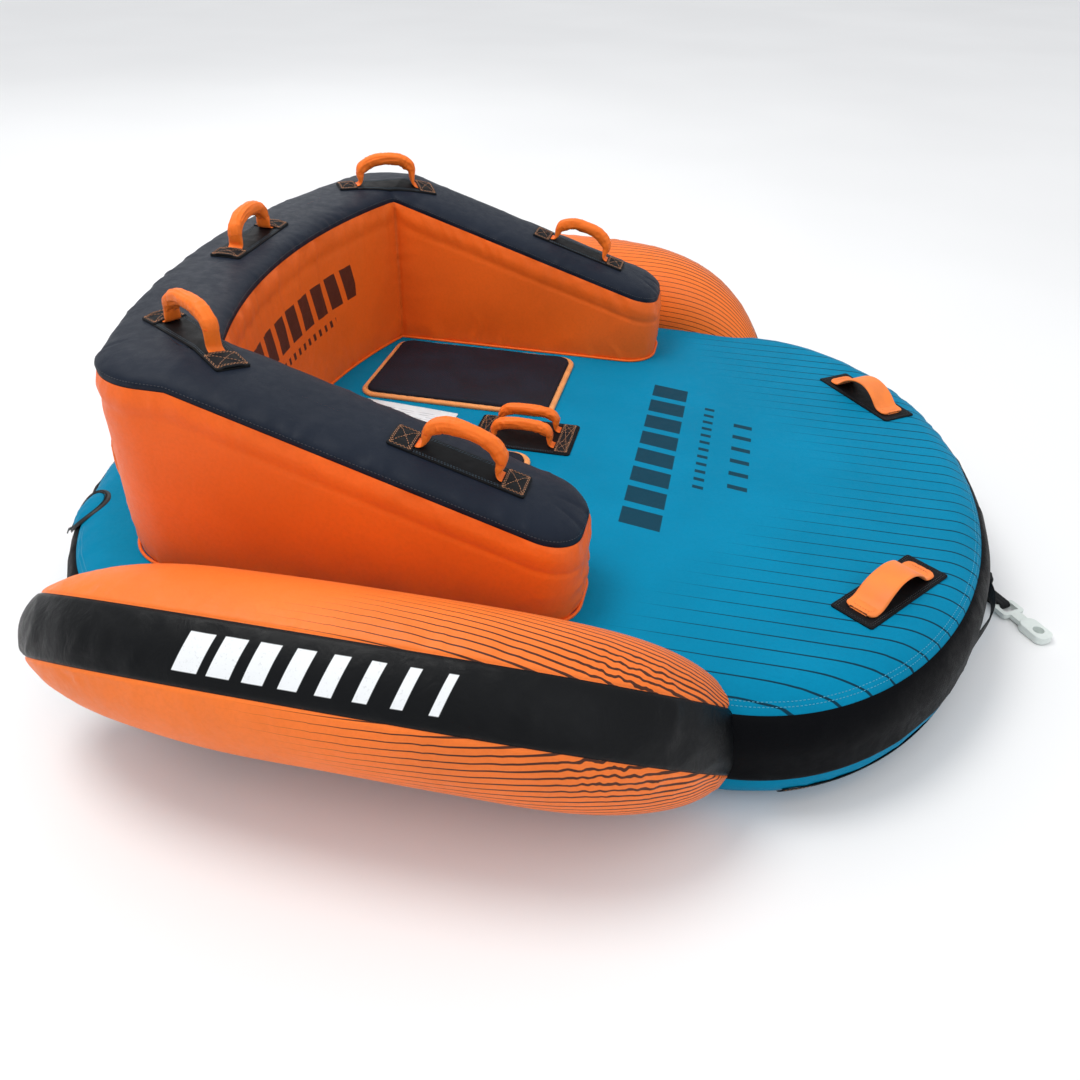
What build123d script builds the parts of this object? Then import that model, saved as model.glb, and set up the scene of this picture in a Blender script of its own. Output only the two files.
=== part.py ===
from build123d import *
import math
import os

# Towable tube for two seated riders: an inflated deck hull with a rounded nose, a U-shaped bolster
# that makes the backrest and both arm rests, two bowed side wings, padded handles, a zipped valve
# pocket and a tow bridle with a quick connector.
# Millimetres. +X is the nose, +Y the riders' left, +Z up. The origin is on the ground, under the
# middle of the bounding box.

# ---------------------------------------------------------------- driving dimensions
COVER = 3.0  # cover fabric, drawn thicker than the real cloth
WALL = 3.0  # air chamber wall, drawn thicker than the real film
GAP = 1.5  # between a cover and its air chamber
CLEAR = 0.3  # between neighbouring pieces that don't touch

HULL_REAR_X = -984.0
HULL_NOSE_X = 843.0
HULL_WIDTH = 1480.0
HULL_HEIGHT = 225.0
NOSE_LENGTH = 498.0  # the nose is half an ellipse this long
REAR_LENGTH = 354.0
HULL_EDGE_R = 95.0
HULL_BAND_TOP = 196.0
HULL_BAND_BOTTOM = 78.0

WING_REAR_X = -754.0
WING_FRONT_X = 388.0
WING_Y = 831.0  # middle of the spine, the part that stands furthest out
WING_Z = 254.0
WING_R = 136.0
WING_BOW_FRONT = 208.0  # how far the spine's ends fall in and down
WING_BOW_REAR = 49.0
WING_BOW_POWER = 3.2
WING_BLUNT_REAR = 3.2  # a higher power makes a blunter end
WING_BLUNT_FRONT = 6.0
WING_BAND = 102.0  # width of the outer band

BOLSTER_TIP_X = 100.0
BOLSTER_OUT_Y = 617.0
BOLSTER_IN_Y = 428.0
BOLSTER_BACK_OUT_X = -798.0
BOLSTER_BACK_IN_X = -615.0
BOLSTER_IN_CORNER_X = -540.0
BACK_OUT_R = 1600.0
OUT_CORNER_R = 118.0
TIP_R = 70.0
BOLSTER_TOP_Z = 596.0
BOLSTER_TIP_Z = 396.0
SLOPE_START_X = -545.0
TOP_BAND_DROP = 30.0

PAD_LENGTH = 451.0
PAD_WIDTH = 313.0
PAD_THICK = 14.0
PAD_X = -306.0
PAD_Y = 243.0
PAD_CORNER_R = 38.0
PAD_BORDER = 13.0

PATCH_THICK = 2.0
STRIP_THICK = 2.0
SWING_AXIS = 7.5  # height of a loop's swing axis over what it is sewn to
FOOT_R = 5.0

DECK = HULL_HEIGHT
SIDES = ((1, "left"), (-1, "right"))

os.makedirs("parts", exist_ok=True)
nodes = {}


def both(z_low, z_high, size=4000.0):
    """A wide slab between two heights."""
    return Pos(0, 0, (z_low + z_high) / 2) * Box(size, size, z_high - z_low)


# ---------------------------------------------------------------- hull
def hull_solid(inset):
    """The hull's outer form, shrunk by inset all round."""
    half = HULL_WIDTH / 2 - inset
    nose_x = HULL_NOSE_X - NOSE_LENGTH
    rear_x = HULL_REAR_X + REAR_LENGTH
    nose = EllipticalCenterArc((nose_x, 0), NOSE_LENGTH - inset, half, -90, arc_size=180)
    rear = EllipticalCenterArc((rear_x, 0), REAR_LENGTH - inset, half, 90, arc_size=180)
    sides = [Line((nose_x, half), (rear_x, half)), Line((rear_x, -half), (nose_x, -half))]
    plan = make_face(Curve() + [nose, rear] + sides)
    body = Pos(0, 0, inset) * extrude(plan, HULL_HEIGHT - 2 * inset)
    rims = body.edges().group_by(Axis.Z)
    return fillet(rims[0] + rims[-1], HULL_EDGE_R - inset)


# ---------------------------------------------------------------- valve places
class Valve:
    """A recessed inflation valve: a flange, a body that reaches into the chamber and a screw cap."""

    flange_r = 28.0
    flange_t = 2.0
    body_r = 18.0
    body_t = 24.0
    cap_r = 21.0
    cap_t = 6.0

    def __init__(self, point, normal, depth, x_dir=None):
        """point is on the cover, normal points outwards, depth is how far the flange lies under it."""
        self.plane = Plane(origin=point, x_dir=x_dir, z_dir=normal)
        self.depth = depth

    def disc(self, radius, low, high):
        """A disc on the valve's axis, between two heights over the cover."""
        place = self.plane.offset((low + high) / 2)
        return place.location * Cylinder(radius, high - low)

    def body(self):
        low = -self.depth
        flange = self.disc(self.flange_r, low, low + self.flange_t)
        barrel = self.disc(self.body_r, low - self.body_t, low)
        bore = self.disc(self.body_r - 4, low - self.body_t + 3, low + self.flange_t + 1)
        return flange + barrel - bore

    def cap(self):
        low = -self.depth + self.flange_t + 0.2
        knob = self.disc(self.cap_r, low, low + self.cap_t - 2)
        grip = self.plane.offset(low + self.cap_t - 1.5).location * Box(2 * self.cap_r - 10, 6, 3)
        stem = self.disc(self.body_r - 5, low - 8, low)
        return knob + grip + stem

    def hole(self, radius, reach=60.0):
        return self.disc(radius, -reach, reach)

    def seat(self):
        """What a chamber's wall loses to the body and to the flange that lies in it."""
        recess = self.disc(self.flange_r + CLEAR, -self.depth, 40)
        return self.disc(self.body_r + CLEAR, -60, 0) + recess


DECK_VALVE_Y = -437.0
DECK_VALVE_ANGLE = 52.0  # the pocket's axis over the horizontal
rear_slope = math.sqrt(1 - (DECK_VALVE_Y / (HULL_WIDTH / 2 - HULL_EDGE_R)) ** 2)
rear_core_x = HULL_REAR_X + REAR_LENGTH - (REAR_LENGTH - HULL_EDGE_R) * rear_slope
plan_normal = Vector(
    (rear_core_x - HULL_REAR_X - REAR_LENGTH) / (REAR_LENGTH - HULL_EDGE_R) ** 2,
    DECK_VALVE_Y / (HULL_WIDTH / 2 - HULL_EDGE_R) ** 2,
    0,
).normalized()
valve_tilt = math.radians(DECK_VALVE_ANGLE)
valve_normal = plan_normal * math.cos(valve_tilt) + Vector(0, 0, math.sin(valve_tilt))
valve_point = Vector(rear_core_x, DECK_VALVE_Y, DECK - HULL_EDGE_R) + valve_normal * HULL_EDGE_R
down_slope = plan_normal * math.sin(valve_tilt) - Vector(0, 0, math.cos(valve_tilt))
deck_valve = Valve(valve_point, valve_normal, 10.0, x_dir=down_slope)

ZIP_OUT_R = 50.0
ZIP_IN_R = 43.0
ZIP_TOP = 3.0
FLAP_R = 40.5
FLAP_T = 2.0
ZIP_START = 42.0  # degrees from the flap's sewn side to the slider at rest
FLAT_DEPTH = 10.0  # the chamber is flattened under the pocket


def hull_pieces():
    shell = hull_solid(0) - hull_solid(COVER)
    pocket = deck_valve.hole(ZIP_IN_R)
    nodes["deck_top_panel"] = (shell & both(HULL_BAND_TOP, DECK + 5)) - pocket
    nodes["deck_side_band"] = (shell & both(HULL_BAND_BOTTOM, HULL_BAND_TOP)) - pocket
    nodes["deck_bottom_panel"] = shell & both(-5, HULL_BAND_BOTTOM)
    outer = hull_solid(COVER + GAP) - above_pocket(-FLAT_DEPTH)
    inner = hull_solid(COVER + GAP + WALL) - above_pocket(-FLAT_DEPTH - WALL)
    nodes["deck_air_chamber"] = outer - inner - deck_valve.hole(Valve.body_r + CLEAR)


def above_pocket(height):
    """The space over a plane at the given height across the valve pocket."""
    return deck_valve.plane.offset(height + 200).location * Box(400, 400, 400)


# ---------------------------------------------------------------- wings
def wing_axis(s):
    """The spine's point at s, from -1 at the rear end to 1 at the front."""
    bow = WING_BOW_FRONT if s > 0 else WING_BOW_REAR
    fall = bow * abs(s) ** WING_BOW_POWER / math.sqrt(2)
    x = (WING_REAR_X + WING_FRONT_X) / 2 + s * (WING_FRONT_X - WING_REAR_X) / 2
    return x, WING_Y - fall, WING_Z - fall


def wing_solid(inset, stations=15, last=0.94):
    """The left wing's outer form, lofted through round sections along its bowed spine."""
    rings = []
    for i in range(stations):
        t = last * (2 * i / (stations - 1) - 1)
        s = math.sin(t * math.pi / 2)
        blunt = WING_BLUNT_FRONT if s > 0 else WING_BLUNT_REAR
        radius = (WING_R - inset) * math.sqrt(1 - abs(s) ** blunt)
        x, y, z = wing_axis(s)
        place = Plane(origin=(x - inset * s, y, z), x_dir=(0, 1, 0), z_dir=(1, 0, 0))
        rings.append(place * Circle(radius))
    return loft(rings)


def wing_slab(low, high):
    """A slab across the wing; its faces hold the direction in which the spine bows."""
    place = Plane(origin=(0, WING_Y, WING_Z), x_dir=(1, 0, 0), z_dir=(0, 1, 1))
    return place.location * Pos(0, (low + high) / 2, 0) * Box(4000, high - low, 1200)


wing_x, wing_y, wing_z = wing_axis(-0.45)
WING_VALVE_DIR = Vector(0, 0.15, -1).normalized()


def wing_pieces():
    hull_outside = hull_solid(-CLEAR)
    outer = wing_solid(0) - hull_outside
    shell = outer - wing_solid(COVER)
    valve = Valve(
        Vector(wing_x, wing_y, wing_z) + WING_VALVE_DIR * (WING_R - 4), WING_VALVE_DIR, 6.0
    )
    hole = valve.hole(Valve.flange_r + 2)
    half = WING_BAND / 2
    middle = (shell & wing_slab(-half, half)).solids().sort_by(Axis.Y)
    inside = wing_solid(COVER + GAP) - hull_solid(-CLEAR - COVER - GAP)
    hollow = wing_solid(COVER + GAP + WALL) - hull_solid(-CLEAR - COVER - GAP - WALL)
    pieces = {
        "wing_top_panel": shell & wing_slab(-400, -half),
        "wing_outer_band": middle[-1],
        "wing_bottom_panel": (shell & wing_slab(half, 400)) - hole,
        "wing_air_chamber": inside - hollow - valve.seat(),
    }
    for name, solid in pieces.items():
        nodes[name + "_left"] = solid
        nodes[name + "_right"] = mirror(solid, Plane.XZ)
    return valve


# ---------------------------------------------------------------- bolster
def bolster_plan(inset):
    """The U-shaped plan, shrunk by inset all round."""
    out_y = BOLSTER_OUT_Y - inset
    in_y = BOLSTER_IN_Y + inset
    tip_x = BOLSTER_TIP_X - inset
    tip_r = TIP_R - inset
    centre_x = BOLSTER_BACK_OUT_X + BACK_OUT_R
    corner_y = BOLSTER_OUT_Y - OUT_CORNER_R
    corner_x = centre_x - math.sqrt((BACK_OUT_R - OUT_CORNER_R) ** 2 - corner_y**2)
    turn = math.atan2(corner_y, centre_x - corner_x)
    meet = (
        centre_x - (BACK_OUT_R - inset) * math.cos(turn),
        (BACK_OUT_R - inset) * math.sin(turn),
    )
    sagitta = BOLSTER_IN_CORNER_X - BOLSTER_BACK_IN_X
    back_in_r = (BOLSTER_IN_Y**2 + sagitta**2) / (2 * sagitta)
    in_centre_x = BOLSTER_BACK_IN_X + back_in_r
    in_r = back_in_r + inset
    in_corner = (in_centre_x - math.sqrt(in_r**2 - in_y**2), in_y)
    half_in = math.asin(in_y / in_r) / 2
    half = [
        ThreePointArc(
            (BOLSTER_BACK_OUT_X + inset, 0),
            (
                centre_x - (BACK_OUT_R - inset) * math.cos(turn / 2),
                (BACK_OUT_R - inset) * math.sin(turn / 2),
            ),
            meet,
        ),
        TangentArc(meet, (corner_x, out_y), tangent=(math.sin(turn), math.cos(turn))),
        Line((corner_x, out_y), (tip_x - tip_r, out_y)),
        RadiusArc((tip_x - tip_r, out_y), (tip_x, out_y - tip_r), tip_r),
        Line((tip_x, out_y - tip_r), (tip_x, in_y + tip_r)),
        RadiusArc((tip_x, in_y + tip_r), (tip_x - tip_r, in_y), tip_r),
        Line((tip_x - tip_r, in_y), in_corner),
        ThreePointArc(
            in_corner,
            (in_centre_x - in_r * math.cos(half_in), in_r * math.sin(half_in)),
            (BOLSTER_BACK_IN_X - inset, 0),
        ),
    ]
    other = [mirror(edge, Plane.XZ) for edge in half]
    return make_face(Curve() + half + other)


def under_top(drop):
    """All the space lower than the bolster's top line, dropped by drop."""
    line = Polyline(
        (BOLSTER_TIP_X + 60, 0),
        (BOLSTER_TIP_X + 60, bolster_top(BOLSTER_TIP_X + 60) - drop),
        (SLOPE_START_X, BOLSTER_TOP_Z - drop),
        (BOLSTER_BACK_OUT_X - 60, BOLSTER_TOP_Z - drop),
        (BOLSTER_BACK_OUT_X - 60, 0),
        close=True,
    )
    side = Plane.XZ * make_face(line)
    return extrude(side, 800, both=True)


def bolster_top(x):
    """Height of the bolster's top at x."""
    slope = (BOLSTER_TOP_Z - BOLSTER_TIP_Z) / (BOLSTER_TIP_X - SLOPE_START_X)
    return BOLSTER_TOP_Z - slope * max(0.0, x - SLOPE_START_X)


def bolster_solid(inset, floor):
    body = Pos(0, 0, floor) * extrude(bolster_plan(inset), BOLSTER_TOP_Z - floor)
    return body & under_top(inset)


back_valve = Valve((BOLSTER_BACK_OUT_X + 0.2, 0, DECK + 95), (-1, 0, 0), 4.0)


def bolster_pieces():
    shell = bolster_solid(0, DECK) - bolster_solid(COVER, DECK - 10)
    lower = under_top(TOP_BAND_DROP)
    walls = (shell & lower) - back_valve.hole(Valve.flange_r + 2)
    middle_y = (BOLSTER_OUT_Y + BOLSTER_IN_Y) / 2
    middle_x = (BOLSTER_BACK_OUT_X + BOLSTER_BACK_IN_X) / 2
    inside = Pos((middle_x + 300) / 2, 0, 400) * Box(300 - middle_x, 2 * middle_y, 600)
    nodes["bolster_top_band"] = shell - lower
    nodes["bolster_outer_wall"] = walls - inside
    nodes["bolster_inner_wall"] = walls & inside
    chamber = bolster_solid(COVER + GAP, DECK + GAP)
    hollow = bolster_solid(COVER + GAP + WALL, DECK + GAP + WALL)
    nodes["bolster_air_chamber"] = chamber - hollow - back_valve.hole(Valve.body_r + CLEAR)


# ---------------------------------------------------------------- seats and centre patch
CENTRE_PATCH_LENGTH = 217.0
CENTRE_PATCH_WIDTH = 134.0
CENTRE_PATCH_X = -118.0


def seat_pieces():
    outline = RectangleRounded(PAD_LENGTH, PAD_WIDTH, PAD_CORNER_R)
    inner = RectangleRounded(
        PAD_LENGTH - 2 * PAD_BORDER, PAD_WIDTH - 2 * PAD_BORDER, PAD_CORNER_R - PAD_BORDER
    )
    borders = []
    for side, name in SIDES:
        place = Pos(PAD_X, side * PAD_Y, DECK)
        nodes["seat_pad_" + name] = place * extrude(inner, PAD_THICK)
        borders.append(place * extrude(outline - inner, PAD_THICK / 2))
    nodes["seat_pad_borders"] = Compound(children=borders)
    patch = RectangleRounded(CENTRE_PATCH_LENGTH, CENTRE_PATCH_WIDTH, 8)
    nodes["centre_grip_patch"] = Pos(CENTRE_PATCH_X, 0, DECK) * extrude(patch, PATCH_THICK)


# ---------------------------------------------------------------- loops
class Loop:
    """A handle loop in its own frame: the feet lie along x, the loop stands up along z."""

    def __init__(self, half_span, height, bend_r, core_r, sleeve_r, sleeve_start):
        self.half_span = half_span
        self.height = height
        self.bend_r = bend_r
        self.core_r = core_r
        self.sleeve_r = sleeve_r
        self.sleeve_start = sleeve_start

    def path(self, start):
        w = self.half_span
        h = self.height
        return FilletPolyline((-w, 0, start), (-w, 0, h), (w, 0, h), (w, 0, start), radius=self.bend_r)

    def along(self, start, outer, inner=0.0):
        """A round bar, or a tube, along the loop from the given height."""
        ring = Circle(outer) - Circle(inner) if inner else Circle(outer)
        foot = Plane(origin=(-self.half_span, 0, start), z_dir=(0, 0, 1))
        return sweep(foot * ring, path=self.path(start))

    def core(self):
        """The webbing through the sleeve, gathered round, with its two sewn feet."""
        bar = self.along(SWING_AXIS, self.core_r)
        for side in (-1, 1):
            foot = Pos(side * (self.half_span - 1), 0, SWING_AXIS) * Rot(0, 90, 0)
            bar += foot * Cylinder(FOOT_R, 16)
        return bar

    def sleeve(self):
        return self.along(self.sleeve_start, self.sleeve_r, self.core_r + CLEAR)


BIG_LOOP = Loop(62.0, 64.0, 36.0, 4.8, 14.0, 27.0)
CENTRE_LOOP = Loop(60.0, 50.0, 22.0, 4.8, 13.0, 27.0)
REAR_LOOP = Loop(50.0, 38.0, 15.0, 4.8, 10.0, 22.0)

slope_angle = math.degrees(
    math.atan((BOLSTER_TOP_Z - BOLSTER_TIP_Z) / (BOLSTER_TIP_X - SLOPE_START_X))
)
ARM_HANDLE = (-107.0, 527.0)
CORNER_HANDLE = (-570.0, 465.0)
CORNER_TURN = 32.0
BACK_HANDLE_X = -694.0
REAR_HANDLE_Y = 452.0
REAR_HANDLE_Z = DECK + 112.0
CENTRE_GRIP_Y = 34.0


def top_plane(x, y, turn, tilt):
    """A frame on the bolster's top; turn is about +Z, tilt is how far the top falls to the nose."""
    place = Location((x, y, bolster_top(x)), (0, tilt, 0)) * Location((0, 0, 0), (0, 0, turn))
    return place


def rear_wall_place(side):
    """A frame on the back wall beside a corner: x is up, z points away from the wall."""
    turn = math.asin(REAR_HANDLE_Y / BACK_OUT_R)
    centre_x = BOLSTER_BACK_OUT_X + BACK_OUT_R
    normal = (-math.cos(turn), side * math.sin(turn), 0)
    reach = BACK_OUT_R + 0.4
    point = (centre_x + normal[0] * reach, normal[1] * reach, REAR_HANDLE_Z)
    return Plane(origin=point, x_dir=(0, 0, 1), z_dir=normal).location


def handle_places():
    """Each swinging loop: its name, frame, form, base size and the reach of its cross strips."""
    ax, ay = ARM_HANDLE
    cx, cy = CORNER_HANDLE
    places = []
    for side, name in SIDES:
        arm = top_plane(ax, side * ay, 0, slope_angle)
        corner = top_plane(cx, side * cy, side * CORNER_TURN, 0)
        places.append(("arm_handle_" + name, arm, BIG_LOOP, (232, 62)))
        places.append(("corner_handle_" + name, corner, BIG_LOOP, (232, 62)))
        places.append(("rear_handle_" + name, rear_wall_place(side), REAR_LOOP, (176, 46)))
    places.append(("back_handle", top_plane(BACK_HANDLE_X, 0, 90, 0), BIG_LOOP, (232, 62)))
    return places


def handle_pieces():
    strips = []
    for name, place, loop, (length, width) in handle_places():
        nodes[name + "_patch"] = place * extrude(RectangleRounded(length, width, 6), PATCH_THICK)
        inner = loop.half_span + 9
        strip_length = length / 2 - 4 - inner
        for side in (-1, 1):
            at = Pos(side * (inner + strip_length / 2), 0, PATCH_THICK + STRIP_THICK / 2)
            strips.append(place * at * Box(strip_length, width - 8, STRIP_THICK))
        if loop is REAR_LOOP:
            nodes[name + "_loop"] = place * (loop.core() + loop.along(loop.sleeve_start, loop.sleeve_r))
        else:
            nodes[name + "_webbing"] = place * loop.core()
            nodes[name + "_sleeve"] = place * loop.sleeve()
    for side, name in SIDES:
        place = Pos(CENTRE_PATCH_X, side * CENTRE_GRIP_Y, DECK)
        nodes["centre_grip_" + name + "_webbing"] = place * CENTRE_LOOP.core()
        nodes["centre_grip_" + name + "_sleeve"] = place * CENTRE_LOOP.sleeve()
    for side in (-1, 1):
        at = Pos(CENTRE_PATCH_X + side * 89, 0, DECK + PATCH_THICK + STRIP_THICK / 2)
        strips.append(at * Box(34, CENTRE_PATCH_WIDTH - 8, STRIP_THICK))
    nodes["handle_cross_strips"] = Compound(children=strips)


# ---------------------------------------------------------------- flat straps on the nose
STRAP_X = 612.0
STRAP_Y = 380.0
STRAP_TURN = -52.5
STRAP_RISE = 40.0
STRAP_HALF_SPAN = 70.0
STRAP_END = 96.0
STRAP_WIDTH = 58.0
STRAP_THICK = 5.0


def strap_solid():
    """A flat strap that stands up as an arch between its two sewn ends."""
    radius = (STRAP_HALF_SPAN**2 + STRAP_RISE**2) / (2 * STRAP_RISE)
    centre = STRAP_RISE - radius
    ring = Pos(0, centre) * (Circle(radius) - Circle(radius - STRAP_THICK))
    arch = ring & Pos(0, 100) * Rectangle(400, 200)
    end_length = STRAP_END - STRAP_HALF_SPAN + 6
    for side in (-1, 1):
        end = Pos(side * (STRAP_END - end_length / 2), STRAP_THICK / 2)
        arch += end * Rectangle(end_length, STRAP_THICK)
    return Rot(90, 0, 0) * extrude(arch, STRAP_WIDTH / 2, both=True)


def strap_pieces():
    patches = []
    for side, name in SIDES:
        place = Pos(STRAP_X, side * STRAP_Y, DECK) * Rot(0, 0, side * STRAP_TURN)
        patches.append(place * extrude(RectangleRounded(234, 83, 5), PATCH_THICK))
        nodes["nose_strap_" + name] = place * Pos(0, 0, PATCH_THICK) * strap_solid()
    nodes["nose_strap_patches"] = Compound(children=patches)


# ---------------------------------------------------------------- valve pocket
def valve_pieces(wing_valve):
    nodes["deck_valve"] = deck_valve.body()
    nodes["deck_valve_cap"] = deck_valve.cap()
    ring = deck_valve.disc(ZIP_OUT_R, -30, ZIP_TOP) - deck_valve.disc(ZIP_IN_R, -40, ZIP_TOP + 5)
    nodes["valve_zip_ring"] = ring - hull_solid(-CLEAR)
    nodes["valve_flap"] = deck_valve.disc(FLAP_R, ZIP_TOP - FLAP_T, ZIP_TOP)
    middle_r = (ZIP_OUT_R + ZIP_IN_R) / 2 + 1
    start = deck_valve.plane.offset(ZIP_TOP + CLEAR).location * Rot(0, 0, ZIP_START)
    block = Pos(middle_r, 0, 2) * Box(5, 11, 4)
    tab = Pos(middle_r + 10, 0, 1) * Box(17, 5, 2)
    nodes["valve_zip_slider"] = start * (block + tab)
    left_body = wing_valve.body()
    others = [left_body, mirror(left_body, Plane.XZ), back_valve.body()]
    nodes["chamber_valves"] = Compound(children=others)
    nodes["wing_valve_cap_left"] = wing_valve.cap()
    nodes["wing_valve_cap_right"] = mirror(wing_valve.cap(), Plane.XZ)
    nodes["bolster_valve_cap"] = back_valve.cap()


# ---------------------------------------------------------------- tow bridle
BRIDLE_LOW = 20.0
BRIDLE_HIGH = 55.0
BRIDLE_THICK = 3.0
BRIDLE_START = 76.0  # degrees round the nose's ellipse
BRIDLE_LEAVE = 24.0
APEX_X = 872.0
APEX_Y = -38.0  # the slack bridle lies a little to the right
APEX_LENGTH = 16.0
APEX_WIDTH = 28.0
CONNECTOR_TURN = -56.0
BAR_X = 905.9  # the connector's eye bar
BAR_Y = -72.0
BAR_Z = 8.7
BAR_R = 4.5
BIGHT_WIDTH = 25.0
BIGHT_LEG = 50.0
EYE_WIDTH = 52.0
EYE_SLOT = 20.0
EYE_SLOT_WIDTH = 32.0
ROPE_HOLE_R = 11.0
ROPE_HOLE_X = 94.0  # from the eye bar
HEAD_THICK = 16.0


def bridle_arm(side):
    """One arm: webbing along the nose's lower edge, then slack to the apex."""
    nose_x = HULL_NOSE_X - NOSE_LENGTH
    a = NOSE_LENGTH - BRIDLE_THICK / 2
    b = HULL_WIDTH / 2 - BRIDLE_THICK / 2
    arc = BRIDLE_START - BRIDLE_LEAVE
    along = EllipticalCenterArc((nose_x, 0), a, b, BRIDLE_LEAVE, arc_size=arc)
    end = (APEX_X, side * APEX_Y + APEX_WIDTH / 2)
    slack = Spline(along @ 0, end, tangents=((along % 0) * -1, (-0.25, -1)))
    arm = standing_strip(slack) + standing_strip(along)
    return arm if side > 0 else mirror(arm, Plane.XZ)


def standing_strip(line):
    """Webbing that stands on edge along a line in the ground plane."""
    middle = Vector(0, 0, (BRIDLE_LOW + BRIDLE_HIGH) / 2)
    start = Plane(origin=(line @ 0) + middle, x_dir=(0, 0, 1), z_dir=line % 0)
    return sweep(start * Rectangle(BRIDLE_HIGH - BRIDLE_LOW, BRIDLE_THICK), path=line)


def tow_connector():
    """The connector along x from its eye bar, which lies along y at the origin."""
    reach = EYE_SLOT + 2 * BAR_R + 9
    eye = Pos(reach / 2 - BAR_R, 0, 0) * Box(reach, EYE_WIDTH, 2 * BAR_R)
    eye = fillet(eye.edges().filter_by(Axis.Z), 7)
    eye -= Pos(EYE_SLOT / 2, 0, 0) * Box(EYE_SLOT + 2 * BAR_R, EYE_SLOT_WIDTH, 30)
    bar = Rot(90, 0, 0) * Cylinder(BAR_R - 0.1, EYE_SLOT_WIDTH + 2)
    neck = Pos(46, 0, 0) * Box(30, 24, 2 * BAR_R)
    head = Pos(ROPE_HOLE_X - 6, 0, 0) * Box(64, 40, HEAD_THICK)
    head = fillet(head.edges().filter_by(Axis.Z), 15)
    head = fillet(head.edges().group_by(Axis.Z)[-1] + head.edges().group_by(Axis.Z)[0], 2)
    return eye + bar + neck + head - Pos(ROPE_HOLE_X, 0, 0) * Cylinder(ROPE_HOLE_R, 40)


def tow_loop():
    """The webbing bight round the eye bar, and the stitched block where the bridle's arms meet."""
    inner = BAR_R + 0.8
    outer = inner + BRIDLE_THICK
    bend = (Circle(outer) - Circle(inner)) & Pos(50, 0) * Rectangle(100, 100)
    for side in (-1, 1):
        bend += Pos(-BIGHT_LEG / 2, side * (inner + outer) / 2) * Rectangle(BIGHT_LEG, BRIDLE_THICK)
    bight = Rot(90, 0, 0) * extrude(bend, BIGHT_WIDTH / 2, both=True)
    block = Box(APEX_LENGTH, APEX_WIDTH, BRIDLE_HIGH - 1)
    return connector_place() * bight + Pos(APEX_X, APEX_Y, (BRIDLE_HIGH + 1) / 2) * block


def connector_place():
    return Location((BAR_X, BAR_Y, BAR_Z), (0, 0, CONNECTOR_TURN))


def tow_pieces():
    nodes["tow_bridle_left"] = bridle_arm(1)
    nodes["tow_bridle_right"] = bridle_arm(-1)
    nodes["tow_connector"] = connector_place() * tow_connector()
    nodes["tow_loop"] = tow_loop()


# ---------------------------------------------------------------- build and export
hull_pieces()
wing_valve = wing_pieces()
bolster_pieces()
seat_pieces()
handle_pieces()
strap_pieces()
valve_pieces(wing_valve)
tow_pieces()

for name, solid in nodes.items():
    export_step(solid, f"parts/{name}.step")
print(len(nodes), "nodes")
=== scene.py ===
import math

import bmesh
import bpy
import numpy as np
from mathutils import Matrix, Vector


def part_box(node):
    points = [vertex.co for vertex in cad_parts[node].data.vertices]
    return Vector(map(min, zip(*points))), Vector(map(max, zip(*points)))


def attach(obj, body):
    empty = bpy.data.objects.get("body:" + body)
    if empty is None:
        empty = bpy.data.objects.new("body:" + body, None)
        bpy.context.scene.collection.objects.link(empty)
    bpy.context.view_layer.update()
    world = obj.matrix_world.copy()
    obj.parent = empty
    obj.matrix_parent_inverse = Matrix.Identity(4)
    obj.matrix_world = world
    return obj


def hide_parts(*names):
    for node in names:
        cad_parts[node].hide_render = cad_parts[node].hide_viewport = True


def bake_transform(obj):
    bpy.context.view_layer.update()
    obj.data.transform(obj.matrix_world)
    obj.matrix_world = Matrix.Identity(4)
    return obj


# The towable tube's looks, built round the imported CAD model. Metres, the CAD's own frame:
# +X is the nose, +Y the riders' left, +Z up. U runs along a panel's seam and V away from it.

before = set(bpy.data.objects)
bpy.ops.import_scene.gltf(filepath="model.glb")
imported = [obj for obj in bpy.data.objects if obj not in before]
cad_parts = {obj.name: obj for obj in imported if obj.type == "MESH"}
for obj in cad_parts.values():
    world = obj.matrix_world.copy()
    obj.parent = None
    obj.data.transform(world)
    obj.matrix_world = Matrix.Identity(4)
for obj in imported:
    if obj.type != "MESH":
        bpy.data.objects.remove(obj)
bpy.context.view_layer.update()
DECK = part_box("deck_top_panel")[1].z
SIDES = ((1, "left"), (-1, "right"))
PANEL_WELD = 1e-5


# ---------------------------------------------------------------- camera, floor and light
def linked(name, data):
    o = bpy.data.objects.new(name, data)
    bpy.context.scene.collection.objects.link(o)
    return o


def make_camera():
    """The photograph's viewing angle, from a camera fitted to points on the object."""
    data = bpy.data.cameras.new("camera")
    data.lens = 32.5
    data.sensor_width = 36.0
    data.clip_start, data.clip_end = 0.05, 200.0
    camera = linked("camera", data)
    right, up, back = (
        (0.97737, 0.21023, 0.02331),
        (-0.13924, 0.55649, 0.81910),
        (0.15923, -0.80382, 0.57317),
    )
    turn = Matrix((right, up, back)).transposed().to_4x4()
    camera.matrix_world = Matrix.Translation((0.2781, -1.805, 1.2425)) @ turn
    bpy.context.scene.camera = camera


def area_light(name, place, target, size, power, colour=(1, 1, 1)):
    data = bpy.data.lights.new(name, "AREA")
    data.shape = "DISK"
    data.size = size
    data.energy = power
    data.color = colour
    light = linked(name, data)
    light.location = place
    light.rotation_mode = "QUATERNION"
    light.rotation_quaternion = (Vector(target) - Vector(place)).to_track_quat("-Z", "Y")


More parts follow.
